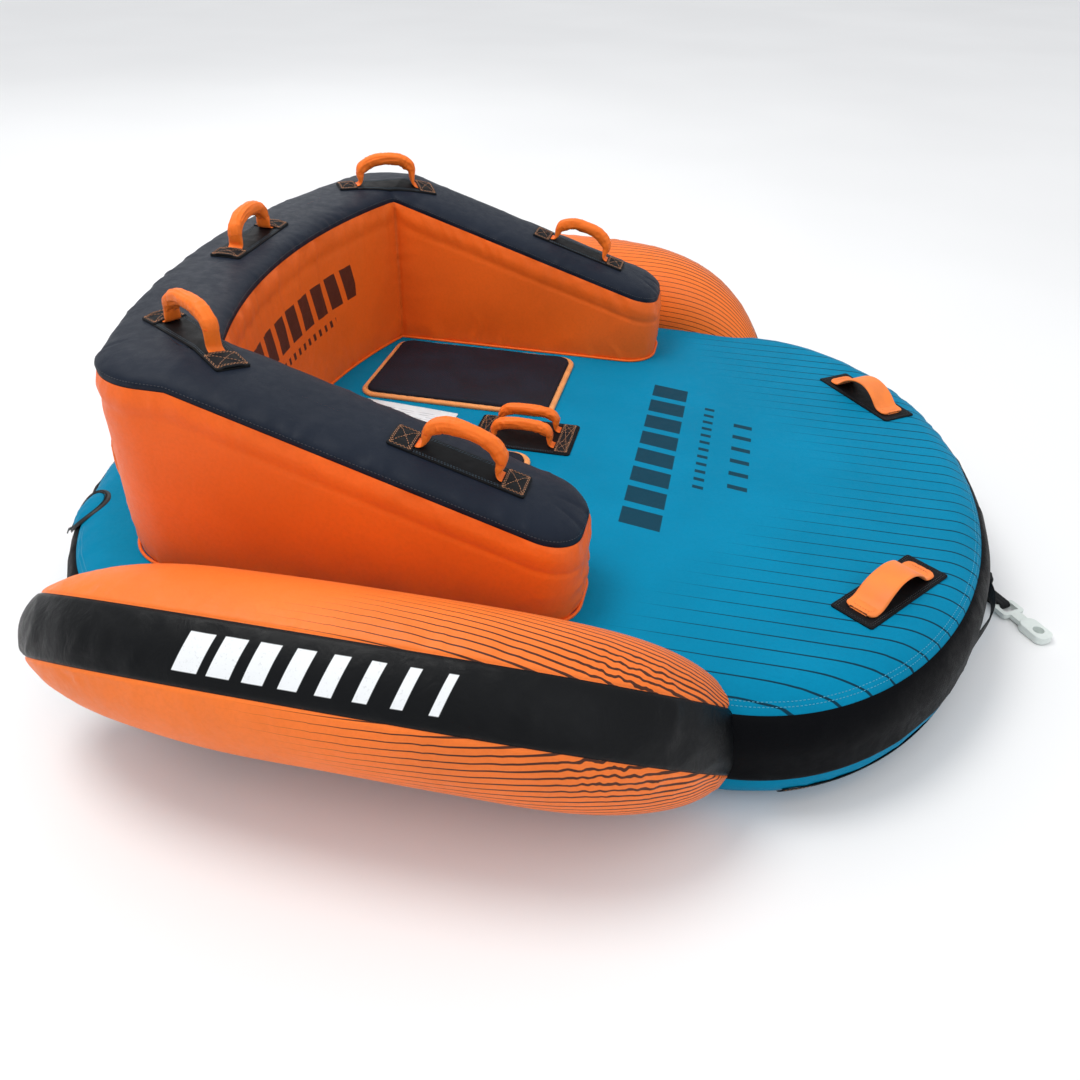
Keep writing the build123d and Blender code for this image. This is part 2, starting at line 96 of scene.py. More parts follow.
def make_studio():
    area_light("ceiling", (0, 1.5, 12.0), (0, 1.5, 0), 34.0, 930)
    area_light("key", (-1.7, -0.6, 4.3), (0, 0, 0.2), 2.0, 84, (1.0, 0.985, 0.96))
    area_light("fill", (3.2, -3.4, 3.0), (0, 0, 0.2), 3.0, 26, (0.93, 0.96, 1.0))
    area_light("rim", (-2.6, 3.8, 3.0), (0, 0, 0.3), 2.6, 22)
    world = bpy.data.worlds.new("studio")
    bpy.context.scene.world = world
    world.use_nodes = True
    background = world.node_tree.nodes["Background"]
    background.inputs["Color"].default_value = (0.94, 0.95, 0.97, 1)
    background.inputs["Strength"].default_value = 0.72
    bpy.context.scene.view_settings.view_transform = "Standard"


# ---------------------------------------------------------------- numbers
def hashed(ix, iy, iz, seed):
    """A repeatable value from 0 to 1 for each whole-number cell."""
    n = (
        ix.astype(np.int64) * 73856093
        ^ iy.astype(np.int64) * 19349663
        ^ iz.astype(np.int64) * 83492791
        ^ seed * 2654435761
    ) & 0xFFFFFFFF
    n = ((n ^ (n >> 15)) * 2246822519) & 0xFFFFFFFF
    n = ((n ^ (n >> 13)) * 3266489917) & 0xFFFFFFFF
    return ((n ^ (n >> 16)) & 0xFFFFFF) / float(0xFFFFFF)


def noise(x, y=0.0, z=0.0, seed=0):
    """Smooth value noise from -1 to 1, one cell per unit."""
    x, y, z = np.broadcast_arrays(*(np.asarray(a, float) for a in (x, y, z)))
    cell = [np.floor(a) for a in (x, y, z)]
    f = [ease(a - c) for a, c in zip((x, y, z), cell)]
    total = np.zeros(x.shape)
    for corner in range(8):
        d = [(corner >> k) & 1 for k in range(3)]
        weight = np.ones(x.shape)
        for k in range(3):
            weight = weight * (f[k] if d[k] else 1 - f[k])
        total += weight * hashed(cell[0] + d[0], cell[1] + d[1], cell[2] + d[2], seed)
    return total * 2 - 1


def ease(t):
    """0 below 0, 1 above 1, and smooth between."""
    t = np.clip(t, 0, 1)
    return t * t * (3 - 2 * t)


def bell(distance, width):
    return np.exp(-((distance / width) ** 2))


def ridges(n, depth=2.2):
    """Noise as folds, round on top and sharp in the valleys."""
    return 1 - depth * np.abs(n) ** 0.8


def crease(along, away, wave, reach, seed):
    """Folds that run away from a seam, from -1 to 1."""
    drift = 0.5 * noise(along / (3 * wave), away / reach, seed=seed + 7)
    n = noise(along / wave + drift, away / (2.2 * reach), seed=seed)
    reach_here = reach * (0.45 + 0.75 * (0.5 + 0.5 * noise(along / (1.5 * wave), seed=seed + 3)))
    fade = np.exp(-((np.maximum(away, 0) / reach_here) ** 1.3))
    return np.clip(ridges(n, 2.6), -1, 1) * fade


def seam_tuck(away, depth=0.003, reach=0.0045):
    return -depth * bell(away, reach)


def unit(v):
    """Vectors made one long, along the last axis."""
    v = np.asarray(v, float)
    return v / np.maximum(np.linalg.norm(v, axis=-1, keepdims=True), 1e-9)


def tangents(line):
    return unit(np.gradient(line, axis=0))


def normals(p, wrap_v=False):
    du = np.gradient(p, axis=0)
    dv = (np.roll(p, -1, 1) - np.roll(p, 1, 1)) / 2 if wrap_v else np.gradient(p, axis=1)
    return unit(np.cross(du, dv))


def lengths(points):
    """How far along a line of points each one lies."""
    return np.concatenate([[0], np.cumsum(np.linalg.norm(np.diff(points, axis=0), axis=1))])


def interpolated(at, along, values):
    """Each column of values, read at other lengths."""
    return np.stack([np.interp(at, along, column) for column in values.T], -1)


def resample(points, step):
    """The polyline again at equal steps of about step, both ends kept."""
    gaps = np.linalg.norm(np.diff(points, axis=0), axis=1)
    points = points[np.concatenate([[True], gaps > 1e-9])]
    along = lengths(points)
    count = max(2, int(round(along[-1] / step)) + 1)
    return interpolated(np.linspace(0, along[-1], count), along, points)


def turns(count):
    """Angles all round a circle."""
    return np.linspace(0, 2 * math.pi, count, endpoint=False)


def closed(points):
    """The points with the first one again at the end."""
    return np.vstack([points, points[:1]])


def with_height(flat, z):
    return np.column_stack([flat, np.broadcast_to(z, len(flat))])


def upright(flat):
    """Points (x, z) in the plane y = 0."""
    return np.column_stack([flat[:, 0], np.zeros(len(flat)), flat[:, 1]])


# ---------------------------------------------------------------- meshes
def finish_piece(o, material, body, nodes=()):
    o.data.materials.append(PAINTS[material])
    for polygon in o.data.polygons:
        polygon.use_smooth = True
    if body:
        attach(o, body)
    if nodes:
        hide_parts(*nodes)
    return o


def new_object(name, points, faces, u=None, v=None, weld=0.0):
    """A mesh with its two lengths as attributes; welding also drops points that no face uses."""
    mesh = bpy.data.meshes.new(name)
    mesh.from_pydata(np.asarray(points, float).tolist(), [], faces)
    for key, values in (("pu", u), ("pv", v)):
        if values is not None:
            layer = mesh.attributes.new(key, "FLOAT", "POINT")
            layer.data.foreach_set("value", np.asarray(values, np.float32).ravel())
    o = linked(name, mesh)
    mesh.update()
    if weld:
        b = bmesh.new()
        b.from_mesh(mesh)
        bmesh.ops.remove_doubles(b, verts=b.verts, dist=weld)
        bmesh.ops.dissolve_degenerate(b, edges=b.edges, dist=weld / 4)
        loose = [vertex for vertex in b.verts if not vertex.link_faces]
        bmesh.ops.delete(b, geom=loose, context="VERTS")
        b.to_mesh(mesh)
        b.free()
    return o


def grid_faces(rows, columns, wrap_u=False, wrap_v=False, flip=False, keep=None):
    i, j = np.meshgrid(
        np.arange(rows if wrap_u else rows - 1),
        np.arange(columns if wrap_v else columns - 1),
        indexing="ij",
    )
    i2, j2 = (i + 1) % rows, (j + 1) % columns
    quads = np.stack([i * columns + j, i2 * columns + j, i2 * columns + j2, i * columns + j2], 2)
    if flip:
        quads = quads[:, :, ::-1]
    quads = quads.reshape(-1, 4)
    if keep is not None:
        quads = quads[keep.ravel()]
    return quads.tolist()


def skin(name, p, material, nodes=(), slot=None, body="tube", u=0, v=0, weld=0.0, fill=None, **grid):
    """One grid of points as a panel."""
    shape = p.shape[:2]
    u, v = np.broadcast_to(u, shape), np.broadcast_to(v, shape)
    o = new_object(name, p.reshape(-1, 3), grid_faces(*shape, **grid), u, v, weld)
    return finish_piece(o, material, body, nodes)


def panel(name, p, material, nodes, slot, u, v, wrap_v=True, **more):
    """A tight cover panel."""
    return skin(name, p, material, nodes, slot, u=u, v=v, wrap_v=wrap_v, weld=PANEL_WELD, fill=1.0,
                **more)


def round_skin(name, p, radius, across, material, **more):
    """A panel of rings: the weave's length is radius times the angle round it, and across over it."""
    v = np.linspace(0, across, len(p))[:, None]
    return skin(name, p, material, u=turns(p.shape[1]) * radius, v=v, wrap_v=True, **more)


def joined(name, parts, material, nodes=(), body="tube"):
    """Several (points, faces, u, v) as one piece."""
    points, faces, us, vs = [], [], [], []
    for part_points, part_faces, u, v in parts:
        base = len(points)
        points.extend(part_points)
        faces.extend([[k + base for k in face] for face in part_faces])
        us.extend(u)
        vs.extend(v)
    o = new_object(name, points, faces, us, vs, weld=1e-6)
    return finish_piece(o, material, body, nodes)


class Place:
    """A frame on the object: a point and three directions."""

    def __init__(self, origin, x=(1, 0, 0), z=(0, 0, 1)):
        self.o = np.array(origin, float)
        self.x = unit(x)
        z = np.array(z, float)
        self.z = unit(z - (z @ self.x) * self.x)
        self.y = np.cross(self.z, self.x)

    def at(self, p):
        p = np.asarray(p, float)
        return self.o + p[..., :1] * self.x + p[..., 1:2] * self.y + p[..., 2:3] * self.z

    def part(self, part):
        """A part's points moved from this frame to the object's."""
        return (self.at(np.array(part[0])).tolist(), *part[1:])

    def moved(self, x, y=0.0):
        return Place(self.at([x, y, 0]), self.x, self.z)


def flat_turn(angle):
    return (math.cos(angle), math.sin(angle), 0)


def tube(centre, width, height, side_dir, around=20, squareness=2.0):
    """A sweep's superelliptic rings: half width along side_dir and half height across it."""
    centre = np.asarray(centre, float)
    n = len(centre)
    tangent = tangents(centre)
    side = np.broadcast_to(np.asarray(side_dir, float), (n, 3))
    side = unit(side - np.sum(side * tangent, 1, keepdims=True) * tangent)
    up = np.cross(tangent, side)
    angle = turns(around)
    c, s = (np.sign(k) * np.abs(k) ** (2 / squareness) for k in (np.cos(angle), np.sin(angle)))
    width, height = (np.broadcast_to(k, (n,))[:, None] for k in (width, height))
    return (centre[:, None, :] + side[:, None, :] * (width * c)[:, :, None]
            + up[:, None, :] * (height * s)[:, :, None])


def tube_part(p, shift=None, along=None):
    """The (points, faces, u, v) of a swept grid with both ends closed."""
    n, around = p.shape[:2]
    if shift is not None:
        p = p + unit(p - p.mean(axis=1, keepdims=True)) * shift[:, :, None]
    points = np.vstack([p.reshape(-1, 3), p[0].mean(0), p[-1].mean(0)]).tolist()
    faces = grid_faces(n, around, wrap_v=True, flip=True)
    first, last = len(points) - 2, len(points) - 1
    for j in range(around):
        k = (j + 1) % around
        faces.append([first, j, k])
        faces.append([last, (n - 1) * around + k, (n - 1) * around + j])
    if along is None:
        along = lengths(p.mean(1))
    u = np.repeat(along, around).tolist() + [along[0], along[-1]]
    v = np.tile(np.linspace(0, 1, around, endpoint=False), n).tolist() + [0, 0]
    return points, faces, u, v


def rounded_outline(length, width, radius, step=0.004):
    """A rectangle with rounded corners, anticlockwise, as points that mirror each other exactly."""
    a, b = length / 2, width / 2
    turn = np.radians(np.linspace(0, 90, 9))
    corner = np.column_stack([a - radius + radius * np.cos(turn), b - radius + radius * np.sin(turn)])
    quarter = resample(np.vstack([[a, 0.0], corner, [0.0, b]]), step)
    half = np.vstack([quarter, quarter[-2::-1] * (-1, 1)])
    return np.vstack([half, half[-2:0:-1] * (1, -1)])


def slab(place, length, width, radius, profile, lift=None, step=0.005, rings=6):
    """A flat pad: profile is a list of (inset, height) from its foot to its top's edge."""
    outline = rounded_outline(length, width, radius, step)
    centre = np.zeros_like(outline)
    reach = max(0.0, length / 2 - width / 2)
    centre[:, 0] = np.clip(outline[:, 0], -reach, reach)
    away = outline - centre
    depth = np.linalg.norm(away, axis=1, keepdims=True)
    rows = [with_height(centre + away * (1 - inset / depth), height) for inset, height in profile]
    edge, top = rows[-1][:, :2], profile[-1][1]
    rows += [with_height(edge + (centre - edge) * (k / rings), top) for k in range(1, rings + 1)]
    local = np.array(rows)
    x, y = local[:, :, 0], local[:, :, 1]
    if lift is not None:
        local[:, :, 2] += lift(x, y)
    faces = grid_faces(*local.shape[:2], wrap_v=True, flip=True)
    faces.append(list(range(local.shape[1]))[::-1])
    return place.at(local).reshape(-1, 3).tolist(), faces, x.ravel().tolist(), y.ravel().tolist()


def stitches(name, lines, thread, length=0.0042, pitch=0.006, radius=0.00055):
    """Rows of raised stitches, each a bar with pointed ends. Each line is (points, normals)."""
    points, faces = [], []
    for line, up in lines:
        line = np.asarray(line, float)
        up = np.broadcast_to(np.asarray(up, float), line.shape)
        along = lengths(line)
        count = max(1, int(along[-1] / pitch))
        for at in (np.arange(count) + 0.5) * along[-1] / count:
            ends = interpolated(at + np.array([-length / 2, length / 2]), along, line)
            t = ends[1] - ends[0]
            if np.linalg.norm(t) < length * 0.4:
                continue
            direction = unit(t)
            n = interpolated(at, along, up)
            n = unit(n - (n @ direction) * direction)
            side = np.cross(direction, n)
            base = len(points)
            points.append(ends[0])
            for share in (0.22, 0.78):
                for a, b in ((1, 0), (0, 1), (-1, 0), (0, -1)):
                    rise = n * (b * 0.7 + 0.25) * radius
                    points.append(ends[0] + t * share + side * a * radius + rise)
            points.append(ends[1])
            for k in range(4):
                m = (k + 1) % 4
                faces.append([base, base + 1 + k, base + 1 + m])
                faces.append([base + 1 + k, base + 5 + k, base + 5 + m, base + 1 + m])
                faces.append([base + 9, base + 5 + m, base + 5 + k])
    return finish_piece(new_object(name, points, faces), thread, "tube")


# ---------------------------------------------------------------- materials
def rgb(code):
    value = [int(code[k : k + 2], 16) / 255 for k in (1, 3, 5)]
    return tuple(c / 12.92 if c < 0.04045 else ((c + 0.055) / 1.055) ** 2.4 for c in value) + (1.0,)


class Paint:
    """A material's nodes, with short names for the few kinds used here."""

    SOCKETS = {"colour": "Base Color", "rough": "Roughness", "normal": "Normal",
               "sheen": "Sheen Weight", "sheen_rough": "Sheen Roughness", "coat": "Coat Weight",
               "coat_rough": "Coat Roughness", "specular": "Specular IOR Level"}

    def __init__(self, name, code="#FFFFFF"):
        self.material = bpy.data.materials.new(name)
        self.material.use_nodes = True
        self.tree = self.material.node_tree
        self.shader = self.tree.nodes["Principled BSDF"]
        self.base = rgb(code)
        self.u, self.v = (self.node("ShaderNodeAttribute", attribute_name=key).outputs["Fac"]
                          for key in ("pu", "pv"))
        self.place = self.node("ShaderNodeTexCoord").outputs["Object"]

    def node(self, kind, inputs=(), **values):
        node = self.tree.nodes.new(kind)
        for key, value in values.items():
            setattr(node, key, value)
        for key, value in inputs:
            self.link(value, node.inputs[key])
        return node

    def link(self, out, into):
        if isinstance(out, bpy.types.NodeSocket):
            self.tree.links.new(out, into)
        else:
            into.default_value = out

    def math(self, operation, *values):
        return self.node("ShaderNodeMath", enumerate(values), operation=operation).outputs[0]

    def mul(self, *values):
        product = values[0]
        for value in values[1:]:
            product = self.math("MULTIPLY", product, value)
        return product

    def add(self, *values):
        total = values[0]
        for value in values[1:]:
            total = self.math("ADD", total, value)
        return total

    def sub(self, a, b):
        return self.math("SUBTRACT", a, b)

    def mul_add(self, a, b, c):
        return self.math("MULTIPLY_ADD", a, b, c)

    def wave(self, value, pitch):
        return self.math("SINE", self.mul(value, 2 * math.pi / pitch))

    def cell(self, value, pitch):
        """How far value is through its pitch, from 0 to 1."""
        return self.math("FRACT", self.math("DIVIDE", value, pitch))

    def xyz(self):
        return self.node("ShaderNodeSeparateXYZ", ((0, self.place),)).outputs

    def noise(self, scale, detail=2.0, rough=0.5, distortion=0.0, at=None):
        inputs = {"Vector": self.place if at is None else at, "Scale": scale, "Detail": detail,
                  "Roughness": rough, "Distortion": distortion}
        return self.node("ShaderNodeTexNoise", inputs.items()).outputs["Fac"]

    def stretched_noise(self, x, y, detail=1.0):
        at = self.node("ShaderNodeCombineXYZ", ((0, x), (1, y))).outputs[0]
        return self.noise(1.0, detail, at=at)

    def pores(self, scale):
        inputs = (("Vector", self.place), ("Scale", scale))
        return self.node("ShaderNodeTexVoronoi", inputs).outputs["Distance"]

    def range(self, value, low, high, to_low=0.0, to_high=1.0, smooth=True):
        kind = "SMOOTHSTEP" if smooth else "LINEAR"
        inputs = enumerate((value, low, high, to_low, to_high))
        return self.node("ShaderNodeMapRange", inputs, clamp=True, interpolation_type=kind).outputs[0]

    def within(self, value, low, high, soft=0.0008):
        return self.mul(self.range(value, low - soft, low + soft),
                        self.range(value, high + soft, high - soft))

    def stripes(self, value, pitch, width):
        """1 on lines across value, one per pitch; width is a share of the pitch."""
        off = self.math("ABSOLUTE", self.sub(self.cell(value, pitch), 0.5))
        half = self.mul(width, 0.5)
        return self.range(off, half, self.sub(half, 0.03))

    def bars(self, across, along, slant, rows):
        """Rows of blocks: each has its limits across and along, its pitch and its share of the pitch."""
        blocks = 0.0
        for limits_across, limits_along, pitch, share in rows:
            block = self.mul(self.within(across, *limits_across), self.within(along, *limits_along),
                             self.within(self.cell(slant, pitch), *share))
            blocks = self.math("MAXIMUM", blocks, block)
        return blocks

    def shade(self, factor):
        return tuple(min(1.0, c * factor) for c in self.base[:3]) + (1.0,)

    def mix(self, factor, a, b):
        inputs = ((0, factor), (6, a), (7, b))
        return self.node("ShaderNodeMix", inputs, data_type="RGBA", blend_type="MIX").outputs[2]

    def mottled(self, value, low, high, dark, light):
        """The base colour, from its dark to its light shade as value goes from low to high."""
        return self.mix(self.range(value, low, high), self.shade(dark), self.shade(light))

    def shaded(self, tone, value, low, high, amount, factor):
        """The tone with a shade of the base over it, by up to amount as value goes from low to high."""
        return self.mix(self.range(value, low, high, 0.0, amount), tone, self.shade(factor))

    def bump(self, height, strength, distance, before=None):
        inputs = [("Strength", strength), ("Distance", distance), ("Height", height)]
        if before is not None:
            inputs.append(("Normal", before))
        return self.node("ShaderNodeBump", inputs).outputs[0]

    def weave(self, pitch):
        """Plain weave from the panel's own two lengths."""
        return self.mul(self.wave(self.u, pitch), self.wave(self.v, pitch))

    def finish(self, **values):
        for key, value in values.items():
            self.link(value, self.shader.inputs[self.SOCKETS[key]])
        return self.material


CLOTH_PITCH = 0.0011


def coated(name, code, rough=0.46, sheen=0.0, pattern=None, crinkle=0.6, specular=0.25):
    """Coated woven nylon: a fine weave with a painted highlight on its raised threads, a soft mottle,
    small crinkles and worn, duller patches.
    """
    paint = Paint(name, code)
    tone = paint.mottled(paint.noise(4.5, 3.0), 0.3, 0.7, 0.94, 1.06)
    tone = paint.shaded(tone, paint.noise(160.0), 0.35, 0.75, 0.14, 0.65)
    # painted highlight: the weave's raised crowns are painted lighter, where the bump lifts the threads
    tone = paint.shaded(tone, paint.weave(CLOTH_PITCH), 0.1, 0.9, 0.16, 1.25)
    if pattern:
        tone = pattern(paint, tone)
    roughness = paint.range(paint.noise(60.0, 4.0, 0.6), 0.3, 0.7, rough - 0.04, rough + 0.07)
    normal = paint.bump(paint.noise(26.0, 3.0, 0.55, 1.1), 0.30 * crinkle, 0.0045)
    normal = paint.bump(paint.noise(90.0, 2.0, 0.5, 0.4), 0.28 * crinkle, 0.0012, normal)
    normal = paint.bump(paint.weave(CLOTH_PITCH), 0.30, 0.00012, normal)
    return paint.finish(colour=tone, rough=roughness, normal=normal, sheen=sheen, sheen_rough=0.4,
                        specular=specular)


# ---------------------------------------------------------------- the hull's form
HULL_REAR, HULL_NOSE, HULL_HALF = -0.984, 0.843, 0.740
NOSE_A, REAR_A = 0.498, 0.354
NOSE_X, REAR_X = HULL_NOSE - NOSE_A, HULL_REAR + REAR_A
RIM = 0.095
BAND_TOP, BAND_BOTTOM = 0.196, 0.078


def hull_outline(step=0.009):
    """Clockwise from the nose: each point's centre x, reach from there and y; and the lengths."""
    def end(x, reach, start, stop, count):
        return [(x, reach * math.cos(t), HULL_HALF * math.sin(t))
                for t in np.linspace(start, stop, count)]

    def side(start, stop, y):
        return [(x, 0.0, y) for x in np.linspace(start, stop, 160)[1:]]

    quarter = math.pi / 2
    p = np.array(end(NOSE_X, NOSE_A, 0, -quarter, 160)
                 + side(NOSE_X, REAR_X, -HULL_HALF)
                 + end(REAR_X, REAR_A, -quarter, -3 * quarter, 300)[1:]
                 + side(REAR_X, NOSE_X, HULL_HALF)
                 + end(NOSE_X, NOSE_A, quarter, 0, 160)[1:-1])
    along = lengths(closed(np.stack([p[:, 0] + p[:, 1], p[:, 2]], 1)))
    count = int(along[-1] / step)
    at = np.arange(count) * along[-1] / count
    return interpolated(at, along, closed(p)), at


def hull_rows(outline, profile):
    """The outline shrunk by each inset, the same way as the CAD hull's, at each height."""
    centre_x, reach_x, y = outline.T
    full_x = np.where(reach_x >= 0, NOSE_A, REAR_A)
    rows = []
    for inset, z in profile:
        x = centre_x + reach_x * (full_x - inset) / full_x
        rows.append(with_height(np.stack([x, y * (HULL_HALF - inset) / HULL_HALF], 1), z))
    return rows


def rim_profile(start, end, count, top=True):
    """Points (inset, z) on the rim's round edge between two angles from the side."""
    made = []
    for a in np.radians(np.linspace(start, end, count)):
        z = DECK - RIM + RIM * math.sin(a) if top else RIM - RIM * math.sin(a)
        made.append((RIM * (1 - math.cos(a)), z))
    return made


def towards_middle(row, shares, z):
    """Rows from a ring towards the line along the hull's middle."""
    middle = np.column_stack(
        [np.clip(row[:, 0], REAR_X + 0.05, NOSE_X + 0.1), np.zeros(len(row)), row[:, 2]]
    )
    return [with_height((row + (middle - row) * share)[:, :2], z) for share in shares]


def row_lengths(p):
    """How far each row lies up the panel, measured along its surface."""
    gaps = np.linalg.norm(np.diff(p, axis=0), axis=2)
    return np.concatenate([np.zeros((1, p.shape[1])), np.cumsum(gaps, axis=0)])


# ---------------------------------------------------------------- the valve pocket's place
def plane_of_pocket():
    """The frame on the rear shoulder's round edge: x points out and down."""
    core_a, core_b = REAR_A - RIM, HULL_HALF - RIM
    y = -0.437
    x = REAR_X - core_a * math.sqrt(1 - (y / core_b) ** 2)
    out = unit([(x - REAR_X) / core_a**2, y / core_b**2, 0.0])
    tilt = math.radians(52.0)
    up = np.array([0, 0, 1.0])
    normal = out * math.cos(tilt) + up * math.sin(tilt)
    down = out * math.sin(tilt) - up * math.cos(tilt)
    return Place(np.array([x, y, DECK - RIM]) + normal * RIM, down, normal)


POCKET = plane_of_pocket()
ZIP_IN, ZIP_OUT = 0.043, 0.051
SHOULDER_R = 0.60  # how the hull bends round the pocket, seen from above


def punch(p, place, radius, cell):
    """Moves a grid's points near a round hole onto its rim; returns which faces stay."""
    local = p - place.o
    a, b, c = local @ place.x, local @ place.y, local @ place.z
    away = np.hypot(a, b)
    near = (np.abs(away - radius) < cell * 0.55) & (np.abs(c) < 0.06)
    scale = np.where(near, radius / np.maximum(away, 1e-9), 1.0) - 1.0
    p += (a * scale)[:, :, None] * place.x + (b * scale)[:, :, None] * place.y
    away = np.where(np.abs(c) < 0.06, np.hypot(a * (1 + scale), b * (1 + scale)), 1.0)
    return face_means(away) > radius - 1e-4


def face_means(value):
    return (value[:-1, :-1] + value[1:, :-1] + value[1:, 1:] + value[:-1, 1:]) / 4


def punch_pocket(p):
    """The same for the zip pocket, on a grid that wraps."""
    keep = punch(p, POCKET, ZIP_IN + 0.002, 0.010)
    return np.concatenate([keep, np.ones((len(p) - 1, 1), bool)], axis=1)


def hull_surface_drop(local_x, local_y):
    """How far the hull's surface lies under the pocket's plane; the edge is round along local x."""
    a = np.minimum(np.abs(local_x), RIM * 0.98)
    return RIM - np.sqrt(RIM**2 - a**2) + local_y**2 / (2 * SHOULDER_R)


# ---------------------------------------------------------------- hull panels
# each row of bars: limits along x, limits along the slant, pitch, share of the pitch and its softness
DECK_BARS = (
    ((0.125, 0.205), (-0.310, 0.310), 0.0775, (0.12, 0.86, 0.008)),
    ((0.250, 0.272), (-0.124, 0.248), 0.031, (0.25, 0.62, 0.02)),
    ((0.318, 0.358), (-0.104, 0.208), 0.052, (0.36, 0.66, 0.012)),
)


def deck_pattern(paint, tone):
    """Thin dark lines along the nose half and generic rows of slanted bars."""
    x, y, _ = paint.xyz()
    # the lines start further back near the sides
    begin = paint.sub(0.47, paint.mul(paint.math("ABSOLUTE", y), 0.62))
    grow = paint.math("DIVIDE", paint.sub(x, begin), 0.42)
    width = paint.mul_add(paint.math("MINIMUM", grow, 1.0), 0.085, 0.045)
    lines = paint.mul(paint.stripes(y, 0.0355, width), paint.range(grow, 0.0, 0.42), 0.9)
    slant = paint.add(y, paint.mul_add(x, 0.22, -0.0463))
    grain = paint.range(paint.noise(900.0, 1.0), 0.3, 0.7, 0.84, 0.97)
    blocks = paint.mul(paint.bars(x, slant, slant, DECK_BARS), grain)
    return paint.mix(blocks, paint.mix(lines, tone, rgb("#10222E")), rgb("#16323F"))


def make_hull():
    outline, along = hull_outline()
    seam_angle = math.degrees(math.asin((BAND_TOP - DECK + RIM) / RIM))
    low_angle = math.degrees(math.asin((RIM - BAND_BOTTOM) / RIM))

    rows = hull_rows(outline, rim_profile(seam_angle, 90, 9))
    p = np.array(rows + towards_middle(rows[-1], np.linspace(0, 1, 30)[1:] ** 1.25, DECK))
    up = row_lengths(p)
    u = np.broadcast_to(along, up.shape)
    shift = 0.0016 * crease(u, up, 0.034, 0.055, 11) * ease(up / 0.01) + seam_tuck(up)
    shift += 0.0006 * noise(p[:, :, 0] / 0.11, p[:, :, 1] / 0.11, seed=5) * ease(up / 0.05) - 0.0006
    p = p + normals(p, wrap_v=True) * shift[:, :, None]
    keep = punch_pocket(p)
    panel("deck_top", p, "deck", ("deck_top_panel", "deck_air_chamber"), "deck_fabric", u, up, keep=keep)

    # two rows of stitches beside the seam, which stop at the zip pocket
    lines = []
    columns = p.shape[1]
    for away in (0.013, 0.021):
        row = int(np.argmin(np.abs(up.mean(1) - away)))
        at = np.array([interpolated(away, up[:, j], p[:, j]) for j in range(columns)])
        n = normals(p, wrap_v=True)[row]
        outside = np.linalg.norm(at - POCKET.o, axis=1) > 0.062
        at = at + n * 0.0002
        start = 0
        for j in range(1, columns + 1):
            if j == columns or not outside[j]:
                if j - start > 4 and outside[start]:
                    lines.append((at[start:j], n[start:j]))
                start = j + 1
    stitches("deck_topstitch", lines, "blue_thread", 0.0046, 0.0066, 0.0006)

    profile = rim_profile(low_angle, 0, 3, top=False) + rim_profile(0, seam_angle, 8)
    dense = []
    for (i0, z0), (i1, z1) in zip(profile[:-1], profile[1:]):
        dense += [(i0, z0), (i0 + (i1 - i0) * 0.5, z0 + (z1 - z0) * 0.5)]
    p = np.array(hull_rows(outline, dense + profile[-1:]))
    up = row_lengths(p)
    top_away = up[-1:] - up
    u = np.broadcast_to(along, up.shape)
    fold = crease(u, top_away, 0.060, 0.075, 21) + 0.8 * crease(u, up, 0.045, 0.05, 22)
    shift = 0.0015 * fold * ease(up / 0.01) * ease(top_away / 0.01) + seam_tuck(up) + seam_tuck(top_away)
    for seam in (1.13, 1.02):
        for at in (seam, along[-1] - seam):
            shift = shift - 0.0035 * bell(u - at, 0.0035)
    p = p + normals(p, wrap_v=True) * shift[:, :, None]
    keep = punch_pocket(p)
    panel("deck_band", p, "band", ("deck_side_band",), "side_band", u, up, keep=keep)

    rows = hull_rows(outline, rim_profile(low_angle, 90, 10, top=False))
    p = np.array(rows + towards_middle(rows[-1], np.linspace(0, 1, 16)[1:], 0.0))
    up = row_lengths(p)
    u = np.broadcast_to(along, up.shape)
    shift = 0.0014 * crease(u, up, 0.04, 0.05, 31) * ease(up / 0.01) + seam_tuck(up)
    shift = np.where(p[:, :, 2] < 0.012, 0.0, shift)
    p = p - normals(p, wrap_v=True) * shift[:, :, None]
    panel("deck_underside", p, "deck_plain", ("deck_bottom_panel",), "deck_fabric", u, up, flip=True)


# ---------------------------------------------------------------- cloth simulation
CLOTH = {"quality": 4, "mass": 0.25, "tension_stiffness": 22, "compression_stiffness": 22,
         "shear_stiffness": 8, "bending_stiffness": 0.06, "air_damping": 3, "use_pressure": True,
         "vertex_group_mass": "pins", "pin_stiffness": 4}


def cloth(name, p, pinned, excess, pressure, cap, frames=14, **wraps):
    """Runs a cloth simulation on a coarse grid and returns how far each point moved, at most cap."""
    shape = p.shape[:2]
    o = new_object(name, p.reshape(-1, 3), grid_faces(*shape, **wraps))
    o.vertex_groups.new(name="pins").add(np.nonzero(pinned.ravel())[0].tolist(), 1.0, "REPLACE")
    bpy.context.view_layer.objects.active = o
    modifier = o.modifiers.new("cloth", "CLOTH")
    for key, value in CLOTH.items():
        setattr(modifier.settings, key, value)
    modifier.settings.uniform_pressure_force = pressure
    modifier.settings.shrink_min = -excess
    modifier.settings.effector_weights.gravity = 0
    modifier.collision_settings.use_collision = False
    modifier.collision_settings.use_self_collision = False
    modifier.point_cache.frame_start, modifier.point_cache.frame_end = 1, frames
    for k in range(1, frames + 1):
        bpy.context.scene.frame_set(k)
    made = o.evaluated_get(bpy.context.evaluated_depsgraph_get()).to_mesh()
    co = np.zeros(len(made.vertices) * 3)
    made.vertices.foreach_get("co", co)
    moved = co.reshape(*shape, 3) - p
    bpy.context.scene.frame_set(1)
    mesh = o.data
    bpy.data.objects.remove(o)
    bpy.data.meshes.remove(mesh)
    size = np.linalg.norm(moved, axis=2, keepdims=True)
    return moved * (cap * np.tanh(size / cap) / np.maximum(size, 1e-9))


